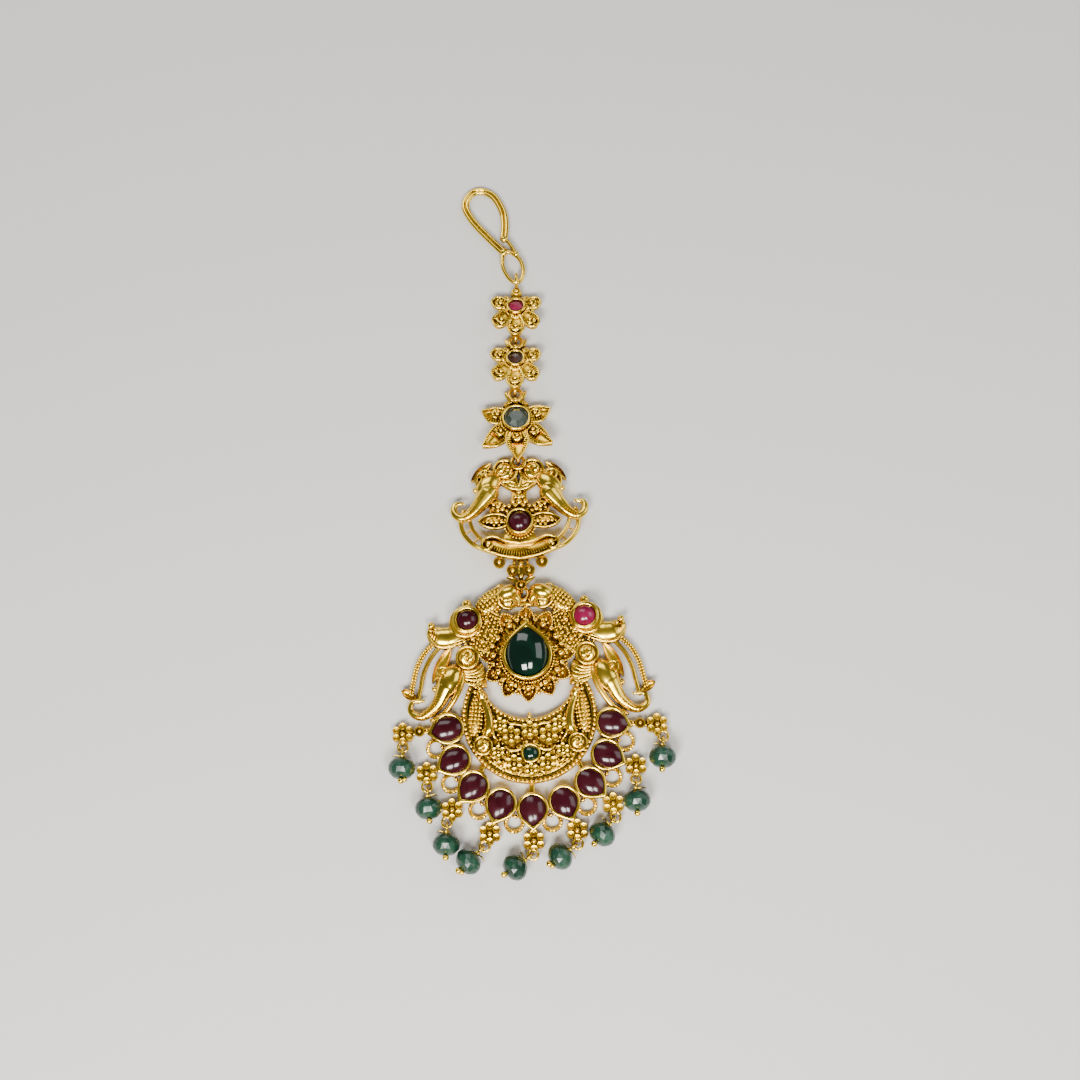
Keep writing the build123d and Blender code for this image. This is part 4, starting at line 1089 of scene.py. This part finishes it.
def pendant_birds():
    """The two birds at the top, with their rubies, tails and granulated wings."""
    work = Metalwork()
    metal, bright = work.metal, work.bright
    # head with its beak, ringed eye, brow line and crest
    egg(work.melted, (2.6, 9.2, 1.45), (2.05, 1.4, 1.75), -22)
    wire(work.melted, [(1.5, 8.7, 1.6), (1.0, 7.9, 1.4), (1.15, 7.1, 1.2)], [0.85, 0.55, 0.24], 10)
    egg(work.melted, (2.9, 7.9, 1.2), (1.5, 1.3, 1.25), 40)
    tube(bright, arc((2.35, 7.55), 0.52, -40, 230, 2.35, 16), [0.1, 0.17, 0.17, 0.1], 8)
    ball(bright, (2.35, 7.55, 2.35), 0.26)
    wire(bright, [(1.5, 7.0, 1.8), (2.4, 6.7, 2.0), (3.5, 6.9, 2.2), (4.3, 7.9, 2.5), (4.2, 9.2, 2.4),
                  (3.7, 10.4, 1.8)], [0.12, 0.19, 0.19, 0.12])
    wire(bright, [(3.1, 10.4, 1.5), (4.1, 10.5, 1.6), (4.8, 9.9, 1.7)], [0.12, 0.2, 0.1])
    # neck with scales
    egg(work.melted, (5.4, 7.75, 0.9), (3.1, 1.75, 1.45), -39)
    dome_rows(work, (5.4, 7.75), (3.1, 1.75, 1.45), -39, 0.95, np.arange(-2.1, 2.8, 0.58),
              np.arange(-1.6, 1.65, 0.2), 0.3)
    wire(bright, [(4.9, 9.9, 1.0), (6.3, 9.0, 1.2), (7.6, 7.7, 1.2)], [0.16, 0.2, 0.16])
    # stepped collar round the ruby, with its ball loop
    turned(metal, (9.55, 4.7), [(0, 0), (2.65, 0), (2.65, 0.9), (2.55, 1.1), (2.45, 1.1), (2.45, 1.6),
                                (2.32, 1.75), (2.2, 1.75), (2.2, 2.3), (0, 2.3)], 36)
    for middle, radius, height, thickness in (((9.55, 4.7), 2.5, 1.2, 0.16), ((9.45, 4.78), 2.3, 2.0, 0.3)):
        tube(bright, ring_path(middle, radius, height, 44), [thickness], 10, closed=True)
    round_cup(bright, bird_ruby, bird_stone, 2.4, 3.5, low=1.0, flare=0.12)
    tube(bright, ring_path(bird_ruby, bird_stone + 0.38, 3.22, 44), [0.26], 10, closed=True)
    ball(bright, (9.3, 7.75, 1.45), 0.72, detail=3)
    # ribbed tail that curls up to a ball
    tail = [(8.6, 3.0), (10.1, 1.6), (12.2, 0.75), (13.6, 0.8), (14.8, 1.3), (15.5, 2.1), (15.75, 3.0),
            (15.6, 4.0), (15.1, 4.6), (14.3, 4.35), (12.8, 4.15), (11.5, 4.5), (10.5, 5.0)]
    plate(metal, tail, 0, 1.2)
    crown = smooth_path([(10.4, 3.2, 1.15), (12.1, 2.55, 1.3), (13.7, 2.65, 1.35), (14.85, 3.3, 1.25)], 6)
    tube(bright, crown, [1.4, 1.65, 1.55, 0.9], 16, flat=0.55)
    work.row("ribs", crown[11:], reach=[1.4, 1.2, 0.7], spacing=0.36, thickness=0.12, height=0.85,
             finish=POLISHED)
    for drop, rise in ((0.75, 0.45), (1.15, 0.25)):
        line = [(8.9, 3.3 - drop, 1.25 + rise), (10.4, 2.7 - drop, 1.4 + rise),
                (12.2, 2.2 - drop, 1.35 + rise), (13.9, 2.4 - drop, 1.2 + rise)]
        wire(bright, line, [0.08, 0.15, 0.15, 0.06])
    edge = smooth_path([(8.8, 2.7, 1.2), (10.4, 1.6, 1.25), (12.4, 0.95, 1.3), (14.3, 1.35, 1.3),
                        (15.3, 2.8, 1.3), (15.1, 4.4, 1.4)], 6)
    tube(bright, edge, [0.16, 0.22, 0.2], 8)
    ball(bright, (14.95, 4.45, 1.65), 0.58)
    ball(bright, (14.3, 3.9, 1.55), 0.34)
    for spot in ((11.9, 5.0), (11.2, 5.9)):
        ball(bright, lifted(spot, 1.0), 0.34)
    # granulated wing between the bird and the lotus
    wing = Leaf((4.6, 6.8), (8.2, -0.8), 1.9, 2.0)
    cupped_leaf(metal, wing, 0, 1.35, rim=0.05, cup=-0.25, lift=0)
    for across in (-0.75, -0.38, 0.0, 0.38, 0.75):
        row = [leaf_point(wing, s, across, 1.75 - 0.2 * abs(across)) for s in np.linspace(0.1, 0.9, 12)]
        radius = 0.3 if across in (-0.38, 0.38) else 0.24
        work.row("granules", row, spacing=radius * 2.2, radius=radius)
    for spot, radius in (((7.6, 3.1), 0.5), ((8.5, 2.1), 0.42), ((7.0, 1.6), 0.48), ((9.8, 1.75), 0.36),
                         ((6.2, 4.8), 0.46)):
        ball(bright, lifted(spot, 1.85), radius)
    wire(bright, [(7.3, 2.6, 1.6), (8.6, 2.7, 1.7), (10.3, 2.0, 1.6), (12.2, 1.5, 1.4)], [0.1, 0.2, 0.12])
    work.mirror()
    solid_bar(metal, (-2.0, 7.9), (2.0, 7.9), 1.4, 0, 0.9)
    tube(bright, ring_path((pendant_eye.x, pendant_eye.y), eye_major, pendant_eye.z), [eye_minor], 10,
         closed=True)
    finish_piece(work, "pendant_birds", ["pendant_frame"])


def pendant_elephants():
    """The elephant heads at the sides, with their bows, scroll discs and fans."""
    work = Metalwork()
    metal, bright = work.metal, work.bright
    trunk = [(12.9, -5.4, 1.5), (14.3, -8.1, 1.35), (16.6, -9.75, 1.1), (18.4, -8.9, 1.0), (18.1, -7.4, 1.0),
             (16.5, -7.3, 1.1)]
    elephant_head(work, head=(12.3, -4.5), sizes=(3.1, 1.95, 2.0), angle=-60, trunk_path=trunk,
                  trunk_radii=[1.5, 1.0, 0.66, 0.52, 0.4, 0.28],
                  ear=Leaf((11.9, 1.0), (15.0, -4.6), 0.95, 0.95), eye=(13.15, -3.1), tusk=(14.6, -5.5),
                  brow=-60)
    # ridge on the inner side of the head
    ridge = smooth_path([(10.2, -2.6, 1.3), (10.3, -4.4, 1.6), (11.3, -6.8, 1.6), (13.1, -9.2, 1.2),
                         (15.2, -10.4, 1.0)], 6)
    tube(metal, ridge, [0.34, 0.5, 0.45, 0.3], 10)
    work.row("ribs", ridge, reach=[0.4, 0.6, 0.55, 0.35], spacing=0.42, thickness=0.13, height=0.42,
             finish=POLISHED)
    # roped outer bow, plain inner bow and the leaf at their end
    outer = smooth_path(lift_all([(14.1, 2.2), (16.2, 0.1), (17.4, -2.2), (18.0, -4.6), (18.3, -6.2)],
                                 0.75), 8)
    inner = smooth_path(lift_all([(13.2, 1.8), (15.2, -0.6), (16.3, -2.9), (16.8, -5.2), (17.3, -7.4)],
                                 0.75), 8)
    tube(metal, outer, [0.36], 8)
    work.row("granules", [p + Vector((0.22, 0.08, 0.25)) for p in outer], spacing=0.46, radius=0.26)
    work.row("granules", [p + Vector((-0.2, -0.1, 0.3)) for p in outer[1:]], spacing=0.46, radius=0.25)
    tube(bright, inner, [0.34, 0.4, 0.34], 10, flat=1.1)
    end_leaf = Leaf((17.5, -7.0), (19.8, -5.6), 0.8, 0.7)
    cupped_leaf(metal, end_leaf, 0.2, 1.0, rim=0.35, cup=0.3, lift=0.2)
    # scroll disc with its shell-shaped fan
    plate(metal, [(7.1, -1.6), (6.65, -3.4), (6.4, -5.5), (8.3, -5.45), (9.7, -4.6), (10.8, -3.0),
                  (11.3, -1.6)], 0, 1.3)
    for k in range(5):
        vein = [raised(spiral, 2.05 + 0.2 * k + (0.3 + 0.38 * k) * s, 312 - (106 - 9 * k) * s, 1.42)
                for s in np.linspace(0, 1, 12)]
        tube(bright, vein, [0.12, 0.22, 0.22, 0.12], 8)
    fan_edge = smooth_path([(11.1, -1.9, 1.4), (10.5, -3.6, 1.45), (9.2, -4.95, 1.45), (6.85, -5.5, 1.4)], 6)
    tube(bright, fan_edge, [0.12, 0.2, 0.2, 0.14], 8)
    turned(metal, spiral, [(0, 0), (1.9, 0), (1.9, 1.7), (1.75, 1.9), (0, 1.9)], 28)
    comma_scroll(work, spiral, 1.85, 1.95, 30, -1)
    for k in range(6):
        ball(bright, raised(spiral, 2.25, 60 + 22 * k, 1.5), 0.3)
    work.mirror()
    finish_piece(work, "pendant_elephants", ["pendant_frame"])


def crescent_edge(inset, which, steps=72):
    """Points along the crescent's outer or inner edge, from one horn to the other."""
    outer_radius, inner_radius = crescent_outer - inset, crescent_inner + inset
    apart = crescent_inner_y - crescent_outer_y
    # how high the horns stand above the outer circle's centre
    level = (apart**2 + outer_radius**2 - inner_radius**2) / (2 * apart)
    middle, radius, rise = ((crescent_outer_y, outer_radius, level) if which == "outer"
                            else (crescent_inner_y, inner_radius, level - apart))
    end = degrees(asin(rise / radius))
    return [polar((0, middle), radius, 180 - end + (180 + 2 * end) * k / steps) for k in range(steps + 1)]


def pendant_crescent():
    """The crescent with its necks, vines, small flowers and granulated ground."""
    work = Metalwork()
    metal, bright = work.metal, work.bright
    # peacock-like necks at the horns, with a comma disc below each
    egg(work.melted, (8.2, -9.9, 0.9), (3.5, 1.05, 1.2), 97)
    dome_rows(work, (8.2, -9.9), (3.5, 1.05, 1.2), 97, 0.95, np.arange(-3.0, 3.2, 0.6),
              np.arange(-0.95, 1.0, 0.15), 0.29)
    wire(work.melted, [(7.0, -13.3, 1.2), (6.35, -12.2, 1.7), (6.25, -10.6, 1.9), (6.7, -8.7, 1.9),
                       (7.3, -7.3, 1.8)], [0.6, 0.8, 0.72, 0.56, 0.5], 12)
    egg(work.melted, (7.35, -6.75, 1.75), (0.95, 0.7, 0.8), 60)
    tube(work.melted, [(7.0, -6.5, 1.7), (6.5, -6.9, 1.5), (6.35, -7.5, 1.3)], [0.4, 0.26, 0.12], 8)
    ball(bright, (7.4, -6.75, 2.5), 0.2)
    for spot, radius in (((7.6, -5.75), 0.36), ((8.2, -5.5), 0.3), ((8.3, -6.3), 0.36), ((7.0, -5.4), 0.3)):
        ball(bright, lifted(spot, 1.7), radius)
    turned(metal, (7.3, -14.6), [(0, 0.5), (1.5, 0.5), (1.5, 1.6), (1.35, 1.85), (0, 1.85)], 26)
    comma_scroll(work, (7.3, -14.6), 1.5, 1.9, 140, 1)
    # flowers, vines and granules on the field
    for spot, radius in (((2.9, -13.3), 1.05), ((2.6, -17.6), 0.95), ((4.95, -15.7), 0.72),
                         ((4.6, -11.6), 0.8)):
        small_flower(work, spot, radius, 0.8, 2.0)
    vines = (
        [(0.4, -14.4, 1.5), (1.2, -14.9, 1.8), (2.0, -15.5, 1.8), (3.2, -15.5, 1.8), (3.8, -14.9, 1.6)],
        [(4.2, -17.5, 1.5), (4.9, -17.1, 1.8), (5.3, -16.5, 1.7), (6.0, -16.4, 1.6), (6.2, -15.8, 1.5)],
        [(5.0, -13.9, 1.5), (5.6, -13.2, 1.8), (5.7, -12.2, 1.7), (5.3, -11.2, 1.5), (5.5, -10.3, 1.4)],
        [(0.9, -11.9, 1.5), (1.9, -11.5, 1.7), (3.0, -11.4, 1.7), (3.6, -10.9, 1.5)],
        [(0.6, -17.6, 1.5), (1.2, -18.3, 1.7), (1.9, -18.9, 1.7), (2.7, -18.9, 1.5)],
    )
    for vine in vines:
        wire(bright, vine, [0.12, 0.24, 0.24, 0.14])
    # what the granules on the ground leave free: x, y and radius
    taken = [(2.9, -13.3, 1.6), (2.6, -17.6, 1.45), (4.95, -15.7, 1.1), (4.6, -11.6, 1.25),
             (7.3, -14.6, 1.75), (0, -12.5, 1.3), (0, -18.6, 1.1), (*crescent_stone, 1.9),
             (6.35, -11.5, 1.1), (8.2, -9.9, 1.5), (7.0, -8.4, 1.2)]
    column_step, row_step, margin = 0.66, 0.68, 1.0
    for row in range(14):
        for column in range(13):
            spot = (0.32 + column_step * column + 0.33 * (row % 2), -10.2 - row_step * row)
            inside = (hypot(spot[0], spot[1] - crescent_outer_y) < crescent_outer - margin
                      and hypot(spot[0], spot[1] - crescent_inner_y) > crescent_inner + margin)
            if inside and all(hypot(spot[0] - x, spot[1] - y) > radius for x, y, radius in taken):
                ball(bright if (row + column) % 3 == 0 else metal, lifted(spot, 1.05),
                     0.36 if (row + column) % 2 else 0.29)
    work.mirror()
    outline = crescent_edge(0, "outer") + crescent_edge(0, "inner")[-2:0:-1]
    plate(metal, outline, 0, 0.95, 0.1)
    for which in ("outer", "inner"):
        tube(metal, [lifted(p, 0.95) for p in crescent_edge(0.36, which)], [0.36], 8)
        work.row("granules", [lifted(p, 1.32) for p in crescent_edge(0.35, which)], spacing=0.7,
                 radius=0.35, finish=POLISHED)
        tube(bright, [lifted(p, 1.2) for p in crescent_edge(0.78, which)], [0.15], 6)
    small_flower(work, (0, -12.5), 0.95, 0.8, 2.0)
    small_flower(work, (0, -18.6), 0.72, 0.8, 1.9)
    for k in range(10):
        ball(metal, raised(crescent_stone, 1.9, 36 * k, 1.45), 0.32)
    round_cup(bright, crescent_stone, crescent_radius, 1.1, 2.1, low=0.5, flare=0.1)
    ball(bright, (0, -10.35, 1.2), 0.42)
    ball(bright, (0, -9.85, 1.0), 0.3)
    finish_piece(work, "pendant_crescent", ["pendant_frame"])


def pear_angle(index):
    """Where a pear ruby stands round the crescent, in degrees."""
    return 180 + index * pear_step


def pear_tip_angle(index):
    """Where a pear ruby's tip points: outwards, and lower on the last two at each end."""
    from_end = min(index, pear_count - 1 - index)
    droop = pear_droop * max(0, 1 - from_end / 2)
    return pear_angle(index) + (droop if index < pear_count / 2 else -droop)


def flower_at(index):
    """The middle of the small flower beyond a pear ruby."""
    if index in (0, pear_count - 1):
        turn = 1.4 if index == 0 else -1.4
        return polar(ring_centre, end_flower_orbit, pear_angle(index) + turn)
    return polar(ring_centre, flower_orbit, pear_angle(index))


def drop_eye_at(index):
    """The middle of the eye that a drop hangs from."""
    return polar(flower_at(index), drop_eye_reach, drops[index].eye_turn)


def pendant_pear_ring():
    """The pear collets round the crescent, with ropes between them and an eye for each drop."""
    work = Metalwork()
    metal, bright = work.metal, work.bright
    for index in range(pear_count):
        spot = polar(ring_centre, pear_orbit, pear_angle(index))
        pear_cup(bright, spot, pear_tip_angle(index), pear_width, pear_length, pear_seat, pear_rim, wall=0.54)
        flower = flower_at(index)
        small_flower(work, flower, 1.15, 0.3, 1.3)
        solid_bar(metal, polar(ring_centre, 14.8, pear_angle(index)), flower, 0.8, 0.3, 0.9)
        eye = drop_eye_at(index)
        solid_bar(metal, flower, polar(flower, 1.3, drops[index].eye_turn), 0.5, 0.5, 1.0)
        tube(bright, ring_path(eye, drop_eye_major, drop_height, 24), [drop_eye_minor], 10, closed=True)
        ball(bright, raised(ring_centre, 15.95, pear_angle(index), 1.0), 0.3)
    for index in range(pear_count - 1):
        middle = pear_angle(index + 0.5)
        loop = arc(polar(ring_centre, scallop_orbit, middle), 1.3, middle - 160, middle + 160, 0.65, 36)
        work.row("twisted_wire", loop, pitch=0.85, radius=0.2, spread=0.15)
        ball(bright, raised(ring_centre, 13.9, middle, 1.0), 0.35)
    for index in range(0, pear_count, 2):
        solid_bar(metal, polar((0, crescent_outer_y), crescent_outer - 0.4, pear_angle(index)),
                  polar(ring_centre, pear_orbit, pear_angle(index)), 0.8, 0.2, 0.7)
    for side in (-1, 1):
        ring_dot(metal, (17.1 * side, -12.0), 0.85, 0.2, 1.2)
    finish_piece(work, "pendant_pear_ring", ["pendant_frame"])


pendant_lotus()
pendant_birds()
pendant_elephants()
pendant_crescent()
pendant_pear_ring()

# ---------------------------------------------------------------- drops
loop_major, pin_radius, pin_ball = 0.62, 0.2, 0.5
pins_with_a_second_ball = (0, 3, 5)
bead_radius, bead_belt, bead_crown, bead_along, bead_sides = 2.1, 1.0, 1.1, 2.75, 12


def drop_place(index):
    """A frame at the pin's loop: X along the pin, Y level across it, Z the rest."""
    turn, slope = radians(drops[index].pin_turn), radians(drop_slope)
    heading = Vector((cos(turn) * cos(slope), sin(turn) * cos(slope), sin(slope)))
    level = Vector((cos(turn), sin(turn), 0))
    spot = lifted(drop_eye_at(index), drop_height) + level * drop_eye_major
    side = heading.cross(Vector((0, 0, 1))).normalized()
    return axes_at(spot, heading, -side, heading.cross(-side))


def drop_pin(index):
    """The wire: a loop, a wrapped tail that sticks out, and a ball below the bead."""
    work = Metalwork()
    bright = work.bright
    loop = [Vector((loop_major * cos(a), 0, loop_major * sin(a))) for a in once_round(24)]
    wire_ring(bright, loop, pin_radius, Vector((0, 1, 0)), 8)
    end = bead_along + bead_belt / 2 + bead_crown + 0.1
    skin(bright, [[Vector((x, pin_radius * cos(a), pin_radius * sin(a))) for a in once_round(8)]
                  for x in (loop_major, end)])
    wraps = [Vector((loop_major + 0.12 + 0.09 * k / 8, 0.3 * cos(k * pi / 4), 0.3 * sin(k * pi / 4)))
             for k in range(20)]
    tube(bright, wraps, [0.12], 6)
    tail = 1 if index % 2 else -1
    tube(bright, [(0.95, 0.2 * tail, 0.25), (0.75, 1.0 * tail, 0.3), (0.85, 1.5 * tail, 0.2)],
         [0.12, 0.12, 0.08], 6)
    ball(bright, (end + pin_ball * 0.8, 0, 0), pin_ball, detail=3)
    if index in pins_with_a_second_ball:
        ball(bright, (end + pin_ball * 0.4, 0.55, 0), pin_ball * 0.8, detail=3)
    name = f"drop_pin_{index + 1}"
    finish_piece(work, name + "_wire", [name], drop_place(index))


def drop_bead(index):
    """A rondelle cut with three rows of facets above and below its girdle."""
    shell = bmesh.new()
    half = bead_belt / 2 + bead_crown
    rows = [(0.55, -half, 0), (1.45, -half + 0.35, 0.5), (1.98, -0.62, 0), (bead_radius, -0.22, 0.5),
            (bead_radius, 0.22, 0), (1.98, 0.62, 0.5), (1.45, half - 0.35, 0), (0.55, half, 0.5)]
    loops = [[shell.verts.new((bead_along + x, radius * cos(a), radius * sin(a)))
              for a in (2 * pi * (j + shift) / bead_sides for j in range(bead_sides))]
             for radius, x, shift in rows]
    for (low, high), (_, _, shift) in zip(zip(loops, loops[1:]), rows):
        for j in range(bead_sides):
            after = (j + 1) % bead_sides
            if shift:
                shell.faces.new((low[j], high[after], high[j]))
                shell.faces.new((low[j], low[after], high[after]))
            else:
                shell.faces.new((low[j], low[after], high[j]))
                shell.faces.new((low[after], high[after], high[j]))
    shell.faces.new(loops[0][::-1])
    shell.faces.new(loops[-1])
    bmesh.ops.transform(shell, matrix=Matrix.Scale(MM, 4) @ drop_place(index), verts=shell.verts[:])
    name = f"drop_bead_{index + 1}"
    mesh = as_mesh(shell, name + "_facets")
    mesh.materials.append(STONES["green_bead"])
    piece = new_object(name + "_facets", mesh)
    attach(piece, "root")
    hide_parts(name)


for index in range(pear_count):
    drop_pin(index)
    drop_bead(index)


# ---------------------------------------------------------------- hook
hook_wire, hook_strand_offset, hook_height, hook_tilt = 0.35, 0.31, 1.2, 2.6


def hair_hook():
    """A doubled wire bent to a long loop, soldered to an oval eye of single wire."""
    work = Metalwork()
    bright = work.bright
    loop = smooth_path(lift_all([(-2.2, 5.9), (-2.35, 6.1), (-4.7, 8.8), (-7.1, 11.9), (-8.3, 14.7),
                                 (-7.4, 16.9), (-5.6, 17.6), (-3.4, 16.4), (-1.95, 13.5), (-1.65, 10.8),
                                 (-1.9, 8.2)], 0), 8)
    for side in (-1, 1):
        strand = []
        for k, point in enumerate(loop):
            run = (loop[min(k + 1, len(loop) - 1)] - loop[max(k - 1, 0)]).normalized()
            strand.append(point + Vector((-run.y, run.x, 0)) * (hook_strand_offset * side))
        tube(bright, strand, [hook_wire], 12)
    wire(bright, [(-1.85, 8.3, 0.1), (-0.9, 7.2, 0.1), (0.1, 5.3, 0.1)], [0.34], 12, steps=8)
    eye = smooth_path(lift_all([(-1.45, 5.85), (-0.6, 5.5), (0.65, 4.3), (1.2, 2.4), (0.9, 0.7), (0, 0),
                                (-1.2, 0.75), (-2.2, 3.0), (-2.2, 5.3)], 0))
    tube(bright, eye, [hook_wire], 12)
    egg(bright, (-1.9, 5.75, 0), (0.78, 0.62, 0.6), 70, 3)
    ball(bright, (-1.85, 8.15, 0.05), 0.6, detail=3)
    ball(bright, (0.1, 5.25, 0.05), 0.5, detail=3)
    tilt = radians(hook_tilt)
    across, face = Vector((1, 0, 0)), Vector((0, sin(tilt), cos(tilt)))
    place = axes_at((hook_ring_point.x, hook_ring_point.y - 0.1, hook_height), across,
                    face.cross(across), face)
    finish_piece(work, "hair_hook", ["hook"], place)


hair_hook()

# ---------------------------------------------------------------- stones keep their CAD shapes
for part in frame["record"]["subparts"]:
    if part["material_slot"] in STONES:
        stone = frame["nodes"][part["node"]]
        stone.data.materials.clear()
        stone.data.materials.append(STONES[part["material_slot"]])

# ---------------------------------------------------------------- floor, light and camera
floor_mesh = bpy.data.meshes.new("table_top")
floor_reach = 1.2
floor_corners = [(x * floor_reach, y * floor_reach, 0) for x, y in ((-1, -1), (1, -1), (1, 1), (-1, 1))]
floor_mesh.from_pydata(floor_corners, [], [(0, 1, 2, 3)])
floor = new_object("table_top", floor_mesh)
pale, _, pale_surface = new_material("pale_card")
pale_surface.inputs["Base Color"].default_value = (0.52, 0.51, 0.49, 1)
pale_surface.inputs["Roughness"].default_value = 0.8
floor.data.materials.append(pale)

world = bpy.data.worlds.new("studio")
bpy.context.scene.world = world
world.use_nodes = True
sky = world.node_tree.nodes["Background"]
sky.inputs["Color"].default_value = (0.9, 0.95, 1.0, 1)
sky.inputs["Strength"].default_value = 0.16


def aimed(name, data, place, target, roll=0.0):
    """Stand a lamp or a camera at a place so that it looks at a target, with +Y up in its view."""
    back = (Vector(place) - Vector(target)).normalized()
    right = Vector((0, 1, 0)).cross(back).normalized()
    stand = axes_at(Vector(place) * MM, right, back.cross(right), back)
    aimed_object = new_object(name, data)
    aimed_object.matrix_world = stand @ Matrix.Rotation(radians(roll), 4, "Z")
    return aimed_object


def soft_box(name, place, size, power, colour=(1, 1, 1)):
    """A rectangular lamp that looks at the middle of the jewel."""
    lamp = bpy.data.lights.new(name, "AREA")
    lamp.shape = "RECTANGLE"
    lamp.size, lamp.size_y = size[0] * MM, size[1] * MM
    lamp.energy = power
    lamp.color = colour
    aimed(name, lamp, place, (0, 15, 0))


soft_box("key_light", (-100, -230, 300), (150, 110), 3.0, (1.0, 0.98, 0.94))
soft_box("second_key_light", (90, -210, 320), (110, 110), 1.7, (1.0, 0.98, 0.95))
soft_box("side_light", (300, 60, 200), (200, 240), 0.5, (0.95, 0.97, 1.0))
soft_box("back_light", (-120, 300, 240), (320, 160), 0.7)

lens = bpy.data.cameras.new("view")
lens.lens, lens.sensor_width = 45, 36
lens.clip_start = 0.01
bpy.context.scene.camera = aimed("view", lens, (2.68, -34.5, 210.9), (2.68, 18.09, 0), -2.2)
